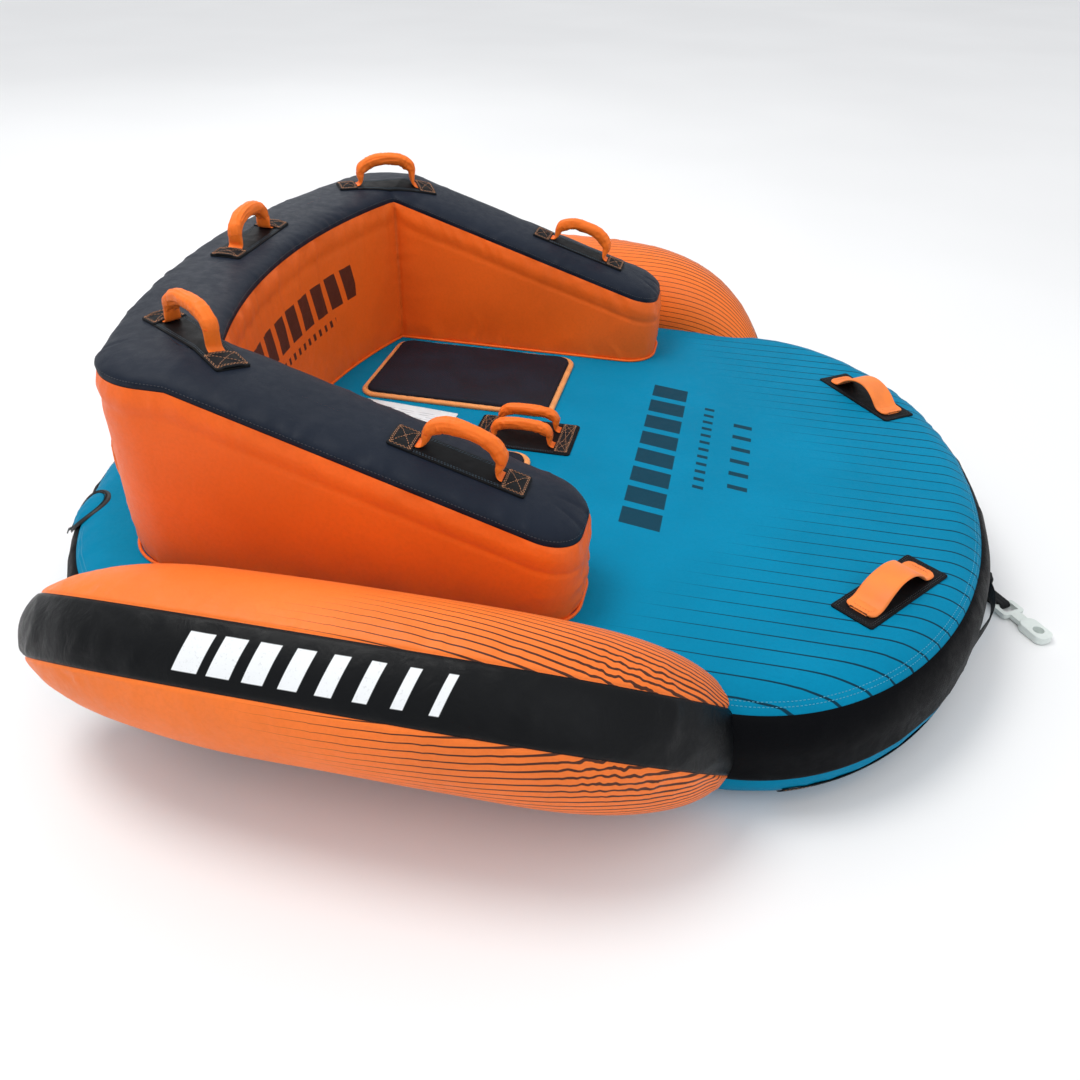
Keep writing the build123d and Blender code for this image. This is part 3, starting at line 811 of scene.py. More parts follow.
def spread(field, rows, columns, wrap_v=False):
    """A coarse grid's values on a finer grid, smoothly."""
    def along_axis(values, count, wrap):
        n = values.shape[0]
        at = np.linspace(0, n if wrap else n - 1, count, endpoint=not wrap)
        k = np.floor(at).astype(int)
        t = (at - k)[:, None, None]
        a, b, c, d = (values[m % n if wrap else np.clip(m, 0, n - 1)] for m in (k - 1, k, k + 1, k + 2))
        return b + 0.5 * t * (c - a + t * (2 * a - 5 * b + 4 * c - d + t * (3 * (b - c) + d - a)))

    field = along_axis(field, rows, False)
    return along_axis(field.transpose(1, 0, 2), columns, wrap_v).transpose(1, 0, 2)


# ---------------------------------------------------------------- wings
WING_REAR, WING_FRONT = -0.754, 0.388
WING_Y, WING_Z, WING_R = 0.831, 0.254, 0.136
WING_HALF_BAND = 0.051


def wing_spine(s):
    bow = np.where(s > 0, 0.208, 0.049) * np.abs(s) ** 3.2 / math.sqrt(2)
    x = (WING_REAR + WING_FRONT) / 2 + s * (WING_FRONT - WING_REAR) / 2
    return np.stack([x, WING_Y - bow, WING_Z - bow], -1)


def wing_radius(s):
    blunt = np.where(s > 0, 6.0, 3.2)
    return WING_R * np.sqrt(np.maximum(1 - np.abs(s) ** blunt, 0.0))


def wing_surface(s, phi, radius):
    """Points on the left wing; phi is 0 towards the band, which faces out and up."""
    theta = phi + math.pi / 4
    out = np.stack([np.zeros_like(theta), np.cos(theta), np.sin(theta)], -1)
    return wing_spine(s) + out * radius[..., None]


def wing_stations(count):
    return np.sin(np.linspace(-1, 1, count) * math.pi / 2)


def wing_pattern(paint, tone):
    """Dark lines that start thin in the middle, sink towards the band and break up in front."""
    u, v = paint.u, paint.v
    front = paint.range(u, -0.16, 0.56)
    away = paint.math("ABSOLUTE", v)
    sink = paint.mul(front, front, 0.075)
    sway = paint.stretched_noise(paint.mul(u, 4.0), paint.mul(v, 5.0))
    sway = paint.mul(paint.sub(sway, 0.5), front, 0.010)
    broken = paint.stretched_noise(paint.mul(u, 60.0), paint.mul(v, 34.0))
    broken = paint.mul(paint.sub(broken, 0.5), paint.range(u, 0.30, 0.37), paint.range(u, 0.48, 0.43),
                       paint.range(away, 0.15, 0.09), 0.014)
    shifted = paint.add(away, sink, paint.add(sway, broken))
    width = paint.mul(paint.mul_add(front, 0.30, 0.055), paint.range(away, 0.22, 0.06, 0.55, 1.25))
    start = paint.mul_add(paint.stretched_noise(0.0, paint.mul(shifted, 60.0), 0.0), 0.16, -0.30)
    start = paint.add(start, paint.mul(away, 0.80))
    fade = paint.range(paint.sub(u, start), 0.0, 0.24)
    lines = paint.mul(paint.stripes(shifted, 0.0128, width), fade, 0.94)
    return paint.mix(lines, tone, rgb("#22110C"))


def band_pattern(paint, tone):
    """A generic row of pale slanted bars on the wing's band, each narrower than the last."""
    x = paint.sub(paint.u, paint.mul(paint.v, 0.30))
    cell = paint.cell(x, 0.0525)
    share = paint.range(x, -0.22, 0.20, 0.80, 0.22, smooth=False)
    mark = paint.mul(paint.range(paint.sub(share, cell), -0.015, 0.015), paint.range(cell, 0.0, 0.02),
                     paint.within(x, -0.2092, 0.1995), paint.within(paint.v, -0.029, 0.029))
    worn = paint.range(paint.noise(240.0, 3.0), 0.28, 0.42, 0.86, 1.0)
    return paint.mix(paint.mul(mark, worn), tone, rgb("#E9ECEE"))


def simulated_wing(rows, columns):
    """How far air pressure moves each point of the wing's cover, on a fine grid."""
    ss, pp = np.meshgrid(wing_stations(72), np.linspace(-math.pi, math.pi, 64, endpoint=False))
    radius = wing_radius(ss)
    on_seam = np.abs(np.abs(radius * np.sin(pp)) - WING_HALF_BAND) < 0.0105
    pinned = (on_seam & (np.cos(pp) > 0)) | (np.cos(pp) < -0.80)
    pinned[:, :2] = pinned[:, -2:] = True
    p = wing_surface(ss, pp, radius * 0.985)
    got = cloth("wing_cloth", p, pinned, 0.010, 3.5, 0.0024, wrap_u=True)
    return spread(closed_rows(got), rows + 1, columns)


def closed_rows(grid):
    return np.concatenate([grid, grid[:1]], axis=0)


def make_wing(side, name):
    fine_rows, fine_columns = 176, 240
    moved = simulated_wing(fine_rows, fine_columns)
    s = wing_stations(fine_columns)
    seam = np.arcsin(np.clip(WING_HALF_BAND / np.maximum(wing_radius(s), 1e-6), 0, 1))
    under = np.full_like(seam, math.pi)

    def moved_at(phi):
        at = (phi + math.pi) / (2 * math.pi) * fine_rows
        k = np.clip(np.floor(at).astype(int), 0, fine_rows - 1)
        t = (at - k)[..., None]
        column = np.broadcast_to(np.arange(fine_columns), phi.shape)
        return moved[k, column] * (1 - t) + moved[k + 1, column] * t

    def band_shift():
        fold = crease(uu, away_low, 0.052, 0.05, seed + 1)
        fold = fold + crease(uu, away_high, 0.044, 0.045, seed + 2)
        inside = ease(away_low / 0.020) * ease(away_high / 0.020)
        shift = 0.0018 * fold * tip * ends * inside - 0.0015 * np.cos(phi / np.maximum(seam, 0.2) * 1.5)
        shift += (0.0007 * noise(uu / 0.020, phi * 0.8, seed=seed + 6) + 0.0006) * inside
        return shift + seam_tuck(away_low, 0.0024, 0.0032) + seam_tuck(away_high, 0.0024, 0.0032)

    def cover_shift(away):
        fold = crease(uu, away, 0.026, 0.042, seed + 3) + 0.40 * crease(uu, away, 0.062, 0.085, seed + 4)
        shift = 0.0019 * fold * tip * ends * ease(away / 0.020) + seam_tuck(away, 0.0024, 0.0032)
        soft = 0.0012 * noise(uu / 0.16, phi * 1.4, seed=seed + 5)
        return shift + soft * ease(away / 0.05) * ease((math.pi - np.abs(phi)) / 0.4)

    seed = 100 if side > 0 else 200
    for label, low, high, rows in (("top_panel", seam, under, 70), ("outer_band", -seam, seam, 26),
                                   ("bottom_panel", -under, -seam, 70)):
        t = np.linspace(0, 1, rows)[:, None]
        edge = {"top_panel": t**1.5, "outer_band": (1 - np.cos(math.pi * t)) / 2,
                "bottom_panel": 1 - (1 - t) ** 1.5}[label]
        phi = low + (high - low) * edge
        ss = np.broadcast_to(s, phi.shape)
        radius = np.broadcast_to(wing_radius(s), phi.shape)
        p = wing_surface(ss, phi, radius) + moved_at(phi)
        n = normals(p)
        away_low, away_high = (phi - low) * radius, (high - phi) * radius
        uu = ss * (WING_FRONT - WING_REAR) / 2
        ends = 1 + 0.9 * np.abs(ss) ** 6
        tip = ease((1 - np.abs(ss)) / 0.05)
        if label == "outer_band":
            shift = band_shift()
        else:
            shift = cover_shift(away_low if label == "top_panel" else away_high)
        p = p + n * shift[:, :, None]
        keep = face_means(hull_depth(p)) < 0.014
        nodes = [f"wing_{label}_{name}"]
        if label == "top_panel":
            nodes.append(f"wing_air_chamber_{name}")
        if label == "bottom_panel":
            keep &= punch(p, wing_valve_place(1), VALVE_HOLE, 0.0080)
        material, slot = ("wing_band", "side_band") if label == "outer_band" else ("wing", "wing_fabric")
        p = p * np.array([1, side, 1])
        panel(f"wing_{label}.{name}", p, material, nodes, slot, uu, phi * WING_R,
              wrap_v=False, flip=side < 0, keep=keep)
    valve_surround("wing", "." + name, wing_valve_place(side), lambda a, b: -(b**2) / (2 * WING_R),
                   -0.0062)


def wing_valve_place(side):
    down = unit([0, 0.15, -1.0])
    point = wing_spine(np.array(-0.45)) + down * (WING_R - 0.0025)
    mirrored = np.array([1, side, 1])
    return Place(point * mirrored, (1, 0, 0), down * mirrored)


def hull_depth(p):
    """Roughly how deep a point lies inside the hull; negative outside."""
    x, y, z = p[..., 0], p[..., 1], p[..., 2]
    centre_x = np.clip(x, REAR_X, NOSE_X)
    a = np.where(x > centre_x, NOSE_A, REAR_A)
    flat = HULL_HALF * (1 - np.hypot((x - centre_x) / a, y / HULL_HALF))
    up = np.minimum(z, DECK - z)
    core = np.hypot(np.minimum(flat - RIM, 0), np.minimum(up - RIM, 0))
    return np.where((flat < RIM) & (up < RIM), RIM - core, np.minimum(flat, up))


# ---------------------------------------------------------------- round the valves
VALVE_HOLE = 0.0295  # the hole in the cover; its bound ring covers the edge
COLLAR_IN, COLLAR_OUT, COLLAR_RISE = 0.0285, 0.0375, 0.0028
FILM_IN, FILM_OUT = 0.0185, 0.032


def ring_row(r, angles, height):
    """A ring's points in a frame; height is a function of x and y."""
    x, y = r * np.cos(angles), r * np.sin(angles)
    return np.stack([x, y, height(x, y)], -1)


def valve_surround(owner, end, place, drop, depth):
    """A bound ring that follows the cover, and the chamber's film that shows inside it."""
    angles = turns(72)
    middle, half = (COLLAR_IN + COLLAR_OUT) / 2, (COLLAR_OUT - COLLAR_IN) / 2
    rows = []
    for a in np.radians(180 - 36 * np.arange(10)):
        lift = COLLAR_RISE * max(math.sin(a), -0.8) + 0.0003 * np.sin(angles * 24)
        rows.append(ring_row(middle + half * math.cos(a), angles, lambda x, y: drop(x, y) + lift))
    round_skin(f"{owner}_valve_collar{end}", place.at(np.array(rows)), middle, 0.02, "band", wrap_u=True,
               flip=True)
    angles = turns(60)
    rows = []
    for r in np.linspace(FILM_IN, FILM_OUT, 12):
        z = depth + 0.0007 * math.sin((r - FILM_IN) * 900) + 0.0004 * np.sin(angles * 9)
        rows.append(ring_row(r, angles, lambda x, y: z))
    round_skin(f"{owner}_valve_pocket{end}", place.at(np.array(rows)), FILM_OUT, FILM_OUT, "pvc",
               slot="air_chamber")


# ---------------------------------------------------------------- bolster
TIP_X, OUT_Y, IN_Y = 0.100, 0.617, 0.428
BACK_OUT, BACK_IN, IN_CORNER = -0.798, -0.615, -0.540
BACK_OUT_R, OUT_CORNER_R, TIP_R = 1.600, 0.118, 0.070
TOP_Z, TIP_Z, SLOPE_X = 0.596, 0.396, -0.545
BAND_DROP = 0.030
SLOPE = (TOP_Z - TIP_Z) / (TIP_X - SLOPE_X)
BOLSTER_HALF_WIDTH = 0.0935
REAR_HANDLE_Y = 0.452


def arc(centre, radius, start, end, step=0.007):
    count = max(3, int(abs(end - start) * radius / step) + 1)
    a = np.linspace(start, end, count)
    return np.stack([centre[0] + radius * np.cos(a), centre[1] + radius * np.sin(a)], 1)


def run(a, b, step=0.007):
    count = max(2, int(math.dist(a, b) / step) + 1)
    return np.linspace(a, b, count)


def bolster_outline():
    """Clockwise from the middle of the back: points, and where the upright seams are."""
    centre_x = BACK_OUT + BACK_OUT_R
    corner_y = OUT_Y - OUT_CORNER_R
    corner_x = centre_x - math.sqrt((BACK_OUT_R - OUT_CORNER_R) ** 2 - corner_y**2)
    turn = math.atan2(corner_y, centre_x - corner_x)
    sagitta = IN_CORNER - BACK_IN
    in_r = (IN_Y**2 + sagitta**2) / (2 * sagitta)
    in_turn = math.asin(IN_Y / in_r)
    tip_x, quarter = TIP_X - TIP_R, math.pi / 2
    half = [
        arc((centre_x, 0), BACK_OUT_R, math.pi, math.pi - turn),
        arc((corner_x, corner_y), OUT_CORNER_R, math.pi - turn, quarter),
        run((corner_x, OUT_Y), (tip_x, OUT_Y)),
        arc((tip_x, OUT_Y - TIP_R), TIP_R, quarter, 0),
        run((TIP_X, OUT_Y - TIP_R), (TIP_X, IN_Y + TIP_R)),
        arc((tip_x, IN_Y + TIP_R), TIP_R, 0, -quarter),
        run((tip_x, IN_Y), (IN_CORNER, IN_Y)),
        arc((BACK_IN + in_r, 0), in_r, math.pi - in_turn, math.pi),
    ]
    points = np.vstack([part[:-1] for part in half] + [half[-1][-1:]])
    marks = np.cumsum([0] + [len(part) - 1 for part in half])
    both = np.vstack([points, points[1:-1][::-1] * (1, -1)])
    along = lengths(closed(both))
    return both, along[:-1], along[-1], marks


BOLSTER, BOLSTER_U, BOLSTER_ROUND, BOLSTER_MARKS = bolster_outline()


def bolster_top(x):
    return TOP_Z - SLOPE * np.maximum(0.0, x - SLOPE_X)


def edge_distance(x, y, chunk=4000):
    """How far a point is inside the bolster's outline."""
    x, y = np.asarray(x, float), np.asarray(y, float)
    flat = np.stack([x.ravel(), y.ravel()], 1)
    nearest = np.empty(len(flat))
    for start in range(0, len(flat), chunk):
        gaps = flat[start : start + chunk, None, :] - BOLSTER[None, :, :]
        nearest[start : start + chunk] = np.sqrt((gaps**2).sum(2).min(1))
    return nearest.reshape(x.shape)


def bolster_height(x, y):
    """The padded top's height over a point."""
    t = 1 - np.clip(edge_distance(x, y) / BOLSTER_HALF_WIDTH, 0, 1)
    return bolster_top(x) - BAND_DROP * (1 - np.maximum(1 - t**2.5, 0) ** (1 / 2.5))


def medial(points):
    """The nearest point on the line along the middle of the U."""
    mid_r, bend_y = BACK_OUT_R - 0.0925, 0.40
    centre_x = BACK_OUT + BACK_OUT_R
    bend_x = centre_x - math.sqrt(mid_r**2 - bend_y**2)
    arm_y = (OUT_Y + IN_Y) / 2
    back = arc((centre_x, 0), mid_r, math.pi, math.pi - math.asin(bend_y / mid_r), 0.004)
    start, finish = np.array([bend_x, bend_y]), np.array([bend_x + 0.135, arm_y])
    handle = np.array([bend_x + 0.045, arm_y])
    t = np.linspace(0, 1, 40)[:, None]
    bend = (1 - t) ** 2 * start + 2 * t * (1 - t) * handle + t**2 * finish
    line = np.vstack([back[:-1], bend[:-1], run(finish, (TIP_X - 0.0945, arm_y), 0.004)])
    both = np.vstack([line, line * (1, -1)])
    gaps = points[:, None, :] - both[None, :, :]
    return both[(gaps**2).sum(2).argmin(1)]


def gap_to_seams():
    """How far each outline point is from the covers' nearest upright seam."""
    half = [BOLSTER_U[BOLSTER_MARKS[k]] for k in (1, 4, 5, 7)]
    middle = BOLSTER_ROUND / 2
    return np.min([np.abs((BOLSTER_U - a + middle) % BOLSTER_ROUND - middle)
                   for a in half + [BOLSTER_ROUND - a for a in half]], 0)


def inner_columns():
    """Which outline points belong to the wall that faces the riders."""
    start = BOLSTER_MARKS[4] + (BOLSTER_MARKS[5] - BOLSTER_MARKS[4]) // 2
    index = np.arange(len(BOLSTER))
    return (index >= start) & (index <= len(BOLSTER) - start)


BACKREST_BARS = (
    ((0.395, 0.472), (-0.265, 0.255), 0.064, (0.14, 0.84, 0.01)),
    ((0.357, 0.374), (-0.170, 0.165), 0.026, (0.25, 0.66, 0.02)),
)


def bolster_pattern(paint, tone):
    """Generic bars on the backrest's front."""
    x, y, z = paint.xyz()
    lean = paint.add(y, paint.mul(z, 0.28))
    front = paint.mul(paint.range(x, -0.660, -0.650), paint.range(x, -0.560, -0.570))
    mark = paint.mul(paint.bars(z, y, lean, BACKREST_BARS), front, 0.93)
    return paint.mix(mark, tone, rgb("#2B1A18"))


def bolster_wall(rows):
    """The upright wall's grid, and the share of its height that each row is at."""
    t = np.linspace(0, 1, rows)[:, None]
    z = DECK + t * (bolster_top(BOLSTER[:, 0]) - BAND_DROP - DECK)
    x, y = (np.broadcast_to(k, z.shape) for k in BOLSTER.T)
    return np.stack([x, y, z], 2), t


def bolster_crown(shares):
    """The padded top's rows, from the edge towards the middle of the U."""
    middle = medial(BOLSTER)
    rows = []
    for share in shares:
        flat = BOLSTER + (middle - BOLSTER) * share
        rows.append(with_height(flat, bolster_height(flat[:, 0], flat[:, 1])))
    rows[0][:, 2] = bolster_top(BOLSTER[:, 0]) - BAND_DROP
    return np.array(rows)


def simulated_bolster(wall_rows, shares, gap_to_seam, outer_back):
    """How far air pressure moves the wall and the top."""
    count = len(BOLSTER)
    coarse_rows = 20
    pick = np.arange(0, count, 2)
    low, high = bolster_wall(coarse_rows)[0], bolster_crown(shares[::2])
    p = np.concatenate([low[:, pick], high[1:, pick]], axis=0)
    n = normals(p, wrap_v=True)
    flat_back = np.where(outer_back[pick], 0.4, 1.0)
    shape = np.sin(np.linspace(0, math.pi, coarse_rows))[:, None] * flat_back * 0.004
    bulge = n[:coarse_rows] * shape[:, :, None]
    p[:coarse_rows] += bulge
    pinned = np.zeros(p.shape[:2])
    pinned[0] = pinned[coarse_rows - 1] = 1.0
    pinned[:, gap_to_seam[pick] < 0.006] = 1.0
    pinned[coarse_rows + 3 :] = 1.0
    rear = (np.abs(np.abs(BOLSTER[pick, 1]) - REAR_HANDLE_Y) < 0.045) & outer_back[pick]
    pinned[:coarse_rows, rear] = 1.0
    got = cloth("bolster_cloth", p, pinned, 0.03, 3.0, 0.0075, wrap_v=True)
    got[:coarse_rows] += bulge
    return (spread(got[:coarse_rows], wall_rows, count, wrap_v=True),
            spread(got[coarse_rows - 1 :], len(shares), count, wrap_v=True))


def make_bolster():
    count, wall_rows = len(BOLSTER), 44
    shares = (np.arange(0, 19) / 18) ** 1.7
    gap_to_seam = gap_to_seams()
    from_back = np.minimum(BOLSTER_U, BOLSTER_ROUND - BOLSTER_U)
    outer_back = from_back < BOLSTER_U[BOLSTER_MARKS[1]]
    moved_wall, moved_top = simulated_bolster(wall_rows, shares, gap_to_seam, outer_back)

    p, t = bolster_wall(wall_rows)
    n = normals(p, wrap_v=True)
    height = bolster_top(BOLSTER[:, 0]) - BAND_DROP - DECK
    up = t * height
    down = height - up
    uu = np.broadcast_to(BOLSTER_U, up.shape)
    calm = np.where(outer_back, 0.45, 1.0)
    fold = 0.8 * crease(uu, down, 0.028, 0.045, 41) + crease(uu, up, 0.036, 0.055, 42)
    at_seam = crease(up + 3 * np.round(uu, 0), gap_to_seam, 0.030, 0.050, 43)
    pucker = crease(uu, down, 0.017, 0.022, 47) + crease(uu, up, 0.017, 0.018, 48)
    shift = (0.0024 * fold + 0.0022 * at_seam + 0.0009 * pucker) * calm
    shift += seam_tuck(gap_to_seam, 0.0030, 0.0040)
    shift *= ease(down / 0.008)
    shift += seam_tuck(down, 0.002, 0.004) + seam_tuck(up, 0.0012, 0.004)
    shift += 0.0013 * noise(uu / 0.13, up / 0.10, seed=44) * ease(down / 0.04) * ease(up / 0.04) * calm
    # the padded strip under the top seam, and long tension folds on the backrest
    inner = inner_columns()
    strip = 0.0034 * bell(down - 0.024, 0.015) - 0.0022 * bell(down - 0.049, 0.005)
    shift += strip * np.where(outer_back, 0.3, 0.8) * ease(gap_to_seam / 0.03)
    rays = crease(uu, down, 0.030, 0.17, 46)
    shift += 0.0030 * rays * ease(down / 0.012) * (inner & (BOLSTER[:, 0] < -0.55))
    p = p + moved_wall + n * shift[:, :, None]
    valve = Place((BACK_OUT - 0.0015, 0, DECK + 0.095), (0, 0, 1), (-1, 0, 0))
    # the grid wraps at the middle of the back, so the hole is cut on a grid that starts opposite
    half = count // 2
    q = np.roll(p, half, 1)
    keep = punch(q, valve, VALVE_HOLE, 0.0075)
    p = np.roll(q, -half, 1)
    keep = np.roll(np.concatenate([keep, np.ones((wall_rows - 1, 1), bool)], 1), -half, 1)
    faces_inner = inner & np.roll(inner, -1)
    panel("bolster_outer", p, "orange", ("bolster_outer_wall", "bolster_air_chamber"), "bolster_fabric",
          uu, up, keep=keep & ~faces_inner)
    panel("bolster_inner", p, "backrest", ("bolster_inner_wall",), "bolster_fabric", uu, up,
          keep=keep & faces_inner)
    valve_surround("bolster", "", valve, lambda a, b: 0 * a - 0.0005, -0.0030)

    p = bolster_crown(shares)
    n = normals(p, wrap_v=True)
    p = p + moved_top * ease(1 - np.linspace(0, 1.4, len(shares)))[:, None, None]
    up = row_lengths(p)
    uu = np.broadcast_to(BOLSTER_U, up.shape)
    fold, pucker = crease(uu, up, 0.030, 0.040, 51), crease(uu, up, 0.017, 0.020, 53)
    shift = (0.0020 * fold + 0.0008 * pucker) * ease(up / 0.008) + seam_tuck(up, 0.002, 0.004)
    shift += 0.0010 * noise(p[:, :, 0] / 0.09, p[:, :, 1] / 0.09, seed=52) * ease(up / 0.03) - 0.0008
    shift -= 0.0022 * bell(gap_to_seam, 0.0045) * ease((0.085 - up) / 0.05) * ease(up / 0.008)
    calm = 1 - patch_zone(p[:, :, 0], p[:, :, 1])
    p = p + n * (shift * (0.25 + 0.75 * calm))[:, :, None]
    panel("bolster_band", p, "navy", ("bolster_top_band",), "dark_fabric", uu, up)
    ups = closed(n[2])
    stitches("bolster_topstitch", [(closed(p[2]) + ups * 0.0003, ups)], "dark_thread", 0.0040, 0.0060,
             0.0005)

    # the welt along the bottom seam, where the bolster meets the deck
    out = normals(bolster_wall(4)[0], wrap_v=True)[0]
    ring = closed(with_height(BOLSTER, DECK + 0.0022) + out * 0.0012)
    welt = tube_part(tube(ring, 0.0030, 0.0030, (0, 0, 1), around=8))
    joined("bolster_welt", [welt], "orange")


# ---------------------------------------------------------------- handle places
TILT = math.atan(SLOPE)


def top_place(x, y, turn=0.0, tilt=0.0):
    z = float(bolster_top(np.array(x)))
    c, s = math.cos(turn), math.sin(turn)
    ct, st = math.cos(tilt), math.sin(tilt)
    return Place((x, y, z), (c * ct, s, -c * st), (st, 0, ct))


def rear_place(side):
    turn = math.asin(REAR_HANDLE_Y / BACK_OUT_R)
    normal = np.array([-math.cos(turn), side * math.sin(turn), 0])
    point = np.array([BACK_OUT + BACK_OUT_R, 0, 0]) + normal * (BACK_OUT_R + 0.0004)
    point[2] = DECK + 0.112
    return Place(point, (0, 0, 1), normal)


def big_handles():
    made = []
    for side, name in SIDES:
        made.append(("arm_handle_" + name, top_place(-0.107, side * 0.527, 0.0, TILT)))
        made.append(("corner_handle_" + name, top_place(-0.570, side * 0.465, side * math.radians(32))))
    made.append(("back_handle", top_place(-0.694, 0.0, math.pi / 2)))
    return made


def patch_zone(x, y):
    """1 under a handle's patch, falling to 0 beside it."""
    zone = np.zeros(np.shape(x))
    for _, place in big_handles():
        a = (x - place.o[0]) * place.x[0] + (y - place.o[1]) * place.x[1]
        b = -(x - place.o[0]) * place.x[1] + (y - place.o[1]) * place.x[0]
        zone = np.maximum(zone, ease((0.135 - np.abs(a)) / 0.02) * ease((0.045 - np.abs(b)) / 0.015))
    return zone


def top_lift(place):
    """How far the padded top lies over or under a handle's flat frame."""
    def lift(a, b):
        flat = place.at(np.stack([a, b, np.zeros_like(a)], -1))
        return (bolster_height(flat[..., 0], flat[..., 1]) - flat[..., 2]) * place.z[2]
    return lift


def level(height=0.0):
    """The same for a flat ground."""
    return lambda a, b: 0 * np.asarray(a, float) + height


# ---------------------------------------------------------------- sewn patches and cross strips
def lifted_line(place, flat, lift, raise_by):
    """A line of stitches over a patch: its points and its normal."""
    return place.at(with_height(flat, lift(flat[:, 0], flat[:, 1]) + raise_by)), place.z


def outline_line(place, length, width, radius, lift, raise_by, inset):
    corner = max(radius - inset, 0.002)
    flat = closed(rounded_outline(length - 2 * inset, width - 2 * inset, corner, 0.003))
    return lifted_line(place, flat, lift, raise_by)


def make_patch(name, place, length, width, lift, nodes, radius=0.006, thread="slate_thread"):
    thick = 0.0022
    profile = [(0.0006, -0.0015), (0.0, 0.0004), (0.0003, thick - 0.0005), (0.0012, thick)]

    def wavy(a, b):
        edge = np.minimum(length / 2 - np.abs(a), width / 2 - np.abs(b))
        pull = -0.0006 * bell(edge - 0.006, 0.002)
        return lift(a, b) + pull + 0.0003 * noise(a / 0.012, b / 0.012, seed=61)

    part = slab(place, length, width, radius, profile, wavy, step=0.003, rings=9)
    joined(name, [part], "patch", nodes)
    lines = [outline_line(place, length, width, radius, lift, thick - 0.0001, inset)
             for inset in (0.0050, 0.0085)]
    stitches(name + "_stitches", lines, thread, 0.0036, 0.0052, 0.00048)


def make_strips(name, place, near, far, width, lift, tab, apart=0.0):
    """Cross strips over both ends of the loops that lie apart from the middle, each with a stitched
    box and cross."""
    parts, lines = [], []
    base = 0.0042
    profile = [(0.0005, base - 0.0032), (0.0, base - 0.0016), (0.0004, base - 0.0004), (0.0014, base)]
    for low, high in ((-far, -near), (near, far)):
        middle, length = (low + high) / 2, high - low
        local = place.moved(middle)

        def raised(a, b, middle=middle):
            hump = 0.0022 * ease((tab + 0.006 - np.abs(np.abs(b) - apart)) / 0.006)
            return lift(a + middle, b) + hump + 0.00022 * np.sin(b * 2 * math.pi / 0.0024)

        parts.append(slab(local, length, width, 0.003, profile, raised, step=0.002, rings=12))
        w, h = length / 2 - 0.0032, width / 2 - 0.0032
        runs = []
        for inner in (0.0, 0.0022):
            a, b = w - inner, h - inner
            box = [(-a, -b), (a, -b), (a, b), (-a, b), (-a, -b)]
            runs += [(start, end, 0.0003) for start, end in zip(box[:-1], box[1:])]
        runs += [((-w, -h), (w, h), 0.0004), ((-w, h), (w, -h), 0.0004)]
        if width > 0.09:
            for k in (-h, h):
                runs += [((-w, a), (w, b), 0.0004) for a, b in ((k / 3, k / 3), (k, k / 3), (k / 3, k))]
        lines += [lifted_line(local, run(start, end, 0.002), raised, base + over)
                  for start, end, over in runs]
    joined(name, parts, "webbing")
    stitches(name + "_stitches", lines, "tan_thread", 0.0040, 0.0054, 0.00055)


# ---------------------------------------------------------------- loops
class LoopForm:
    """An arch's half width and height; square and round say how full its sides and its top are."""

    def __init__(self, half_span, height, square, round_top, sleeve_r, start, tab):
        self.half_span, self.height, self.square, self.round = half_span, height, square, round_top
        self.sleeve_r, self.start, self.tab = sleeve_r, start, tab


BIG = LoopForm(0.062, 0.0575, 2.5, 2.1, 0.0145, 0.022, 0.0145)
CENTRE = LoopForm(0.060, 0.0440, 2.9, 2.2, 0.0130, 0.022, 0.0125)
REAR = LoopForm(0.050, 0.0365, 3.0, 2.2, 0.0100, 0.019, 0.0110)


def loop_line(form):
    """The loop's centreline, a low arch from one foot over the top to the other."""
    turn = np.linspace(0, math.pi, 121)
    x = -form.half_span * np.sign(np.cos(turn)) * np.abs(np.cos(turn)) ** (2 / form.square)
    z = form.start + (form.height - form.start) * np.abs(np.sin(turn)) ** (2 / form.round)
    return upright(resample(np.stack([x, z], 1), 0.0016))


def make_sleeve(name, place, form, body, nodes, seed):
    """A flat fabric tube, gathered at its ends and bends, with a loose seam on its inner side."""
    line = loop_line(form)
    along = lengths(line)
    end = np.minimum(along, along[-1] - along)
    full = ease(end / 0.020)
    wave = 1 + 0.035 * noise(along / 0.021, seed=seed + 9)
    width = form.sleeve_r * (0.92 + 0.04 * full) * wave
    height = form.sleeve_r * (0.60 + 0.31 * full) * (2 - wave)
    close = np.sqrt(np.clip(end / 0.003, 0.05, 1))
    around = 56
    p = tube(line, width * close, height * close, (0, 1, 0), around, squareness=2.3)
    a, t = np.meshgrid(turns(around), along)
    e = np.minimum(t, along[-1] - t)
    bend_at = form.height - form.start + 0.004
    gather = 0.45 + 0.9 * np.exp(-e / 0.014) + 0.8 * bell(e - bend_at, 0.016)
    c, d = np.cos(a), np.sin(a)
    shift = 0.00085 * ridges(noise(c * 2.3, d * 2.3, t / 0.045, seed=seed))
    shift += 0.00065 * ridges(noise(c * 1.1, d * 1.1, t / 0.0085, seed=seed + 2)) * gather
    shift += 0.0009 * noise(c * 1.6, d * 1.6, t / 0.028, seed=seed + 3) - 0.0008
    under = np.mod(a - math.pi / 2 * 3 + math.pi, 2 * math.pi) - math.pi
    flap = 0.0030 + 0.0012 * noise(t / 0.013, seed=seed + 4)
    shift += flap * bell(under - 0.10, 0.13) * full[:, None]
    shift -= 0.0012 * bell(under + 0.28, 0.12)
    shift *= np.clip(close, 0.3, 1)[:, None]
    points, faces, u, v = place.part(tube_part(p, shift, along))
    v = [x * 2 * math.pi * form.sleeve_r for x in v]
    joined(name, [(points, faces, u, v)], "sleeve", nodes, body)


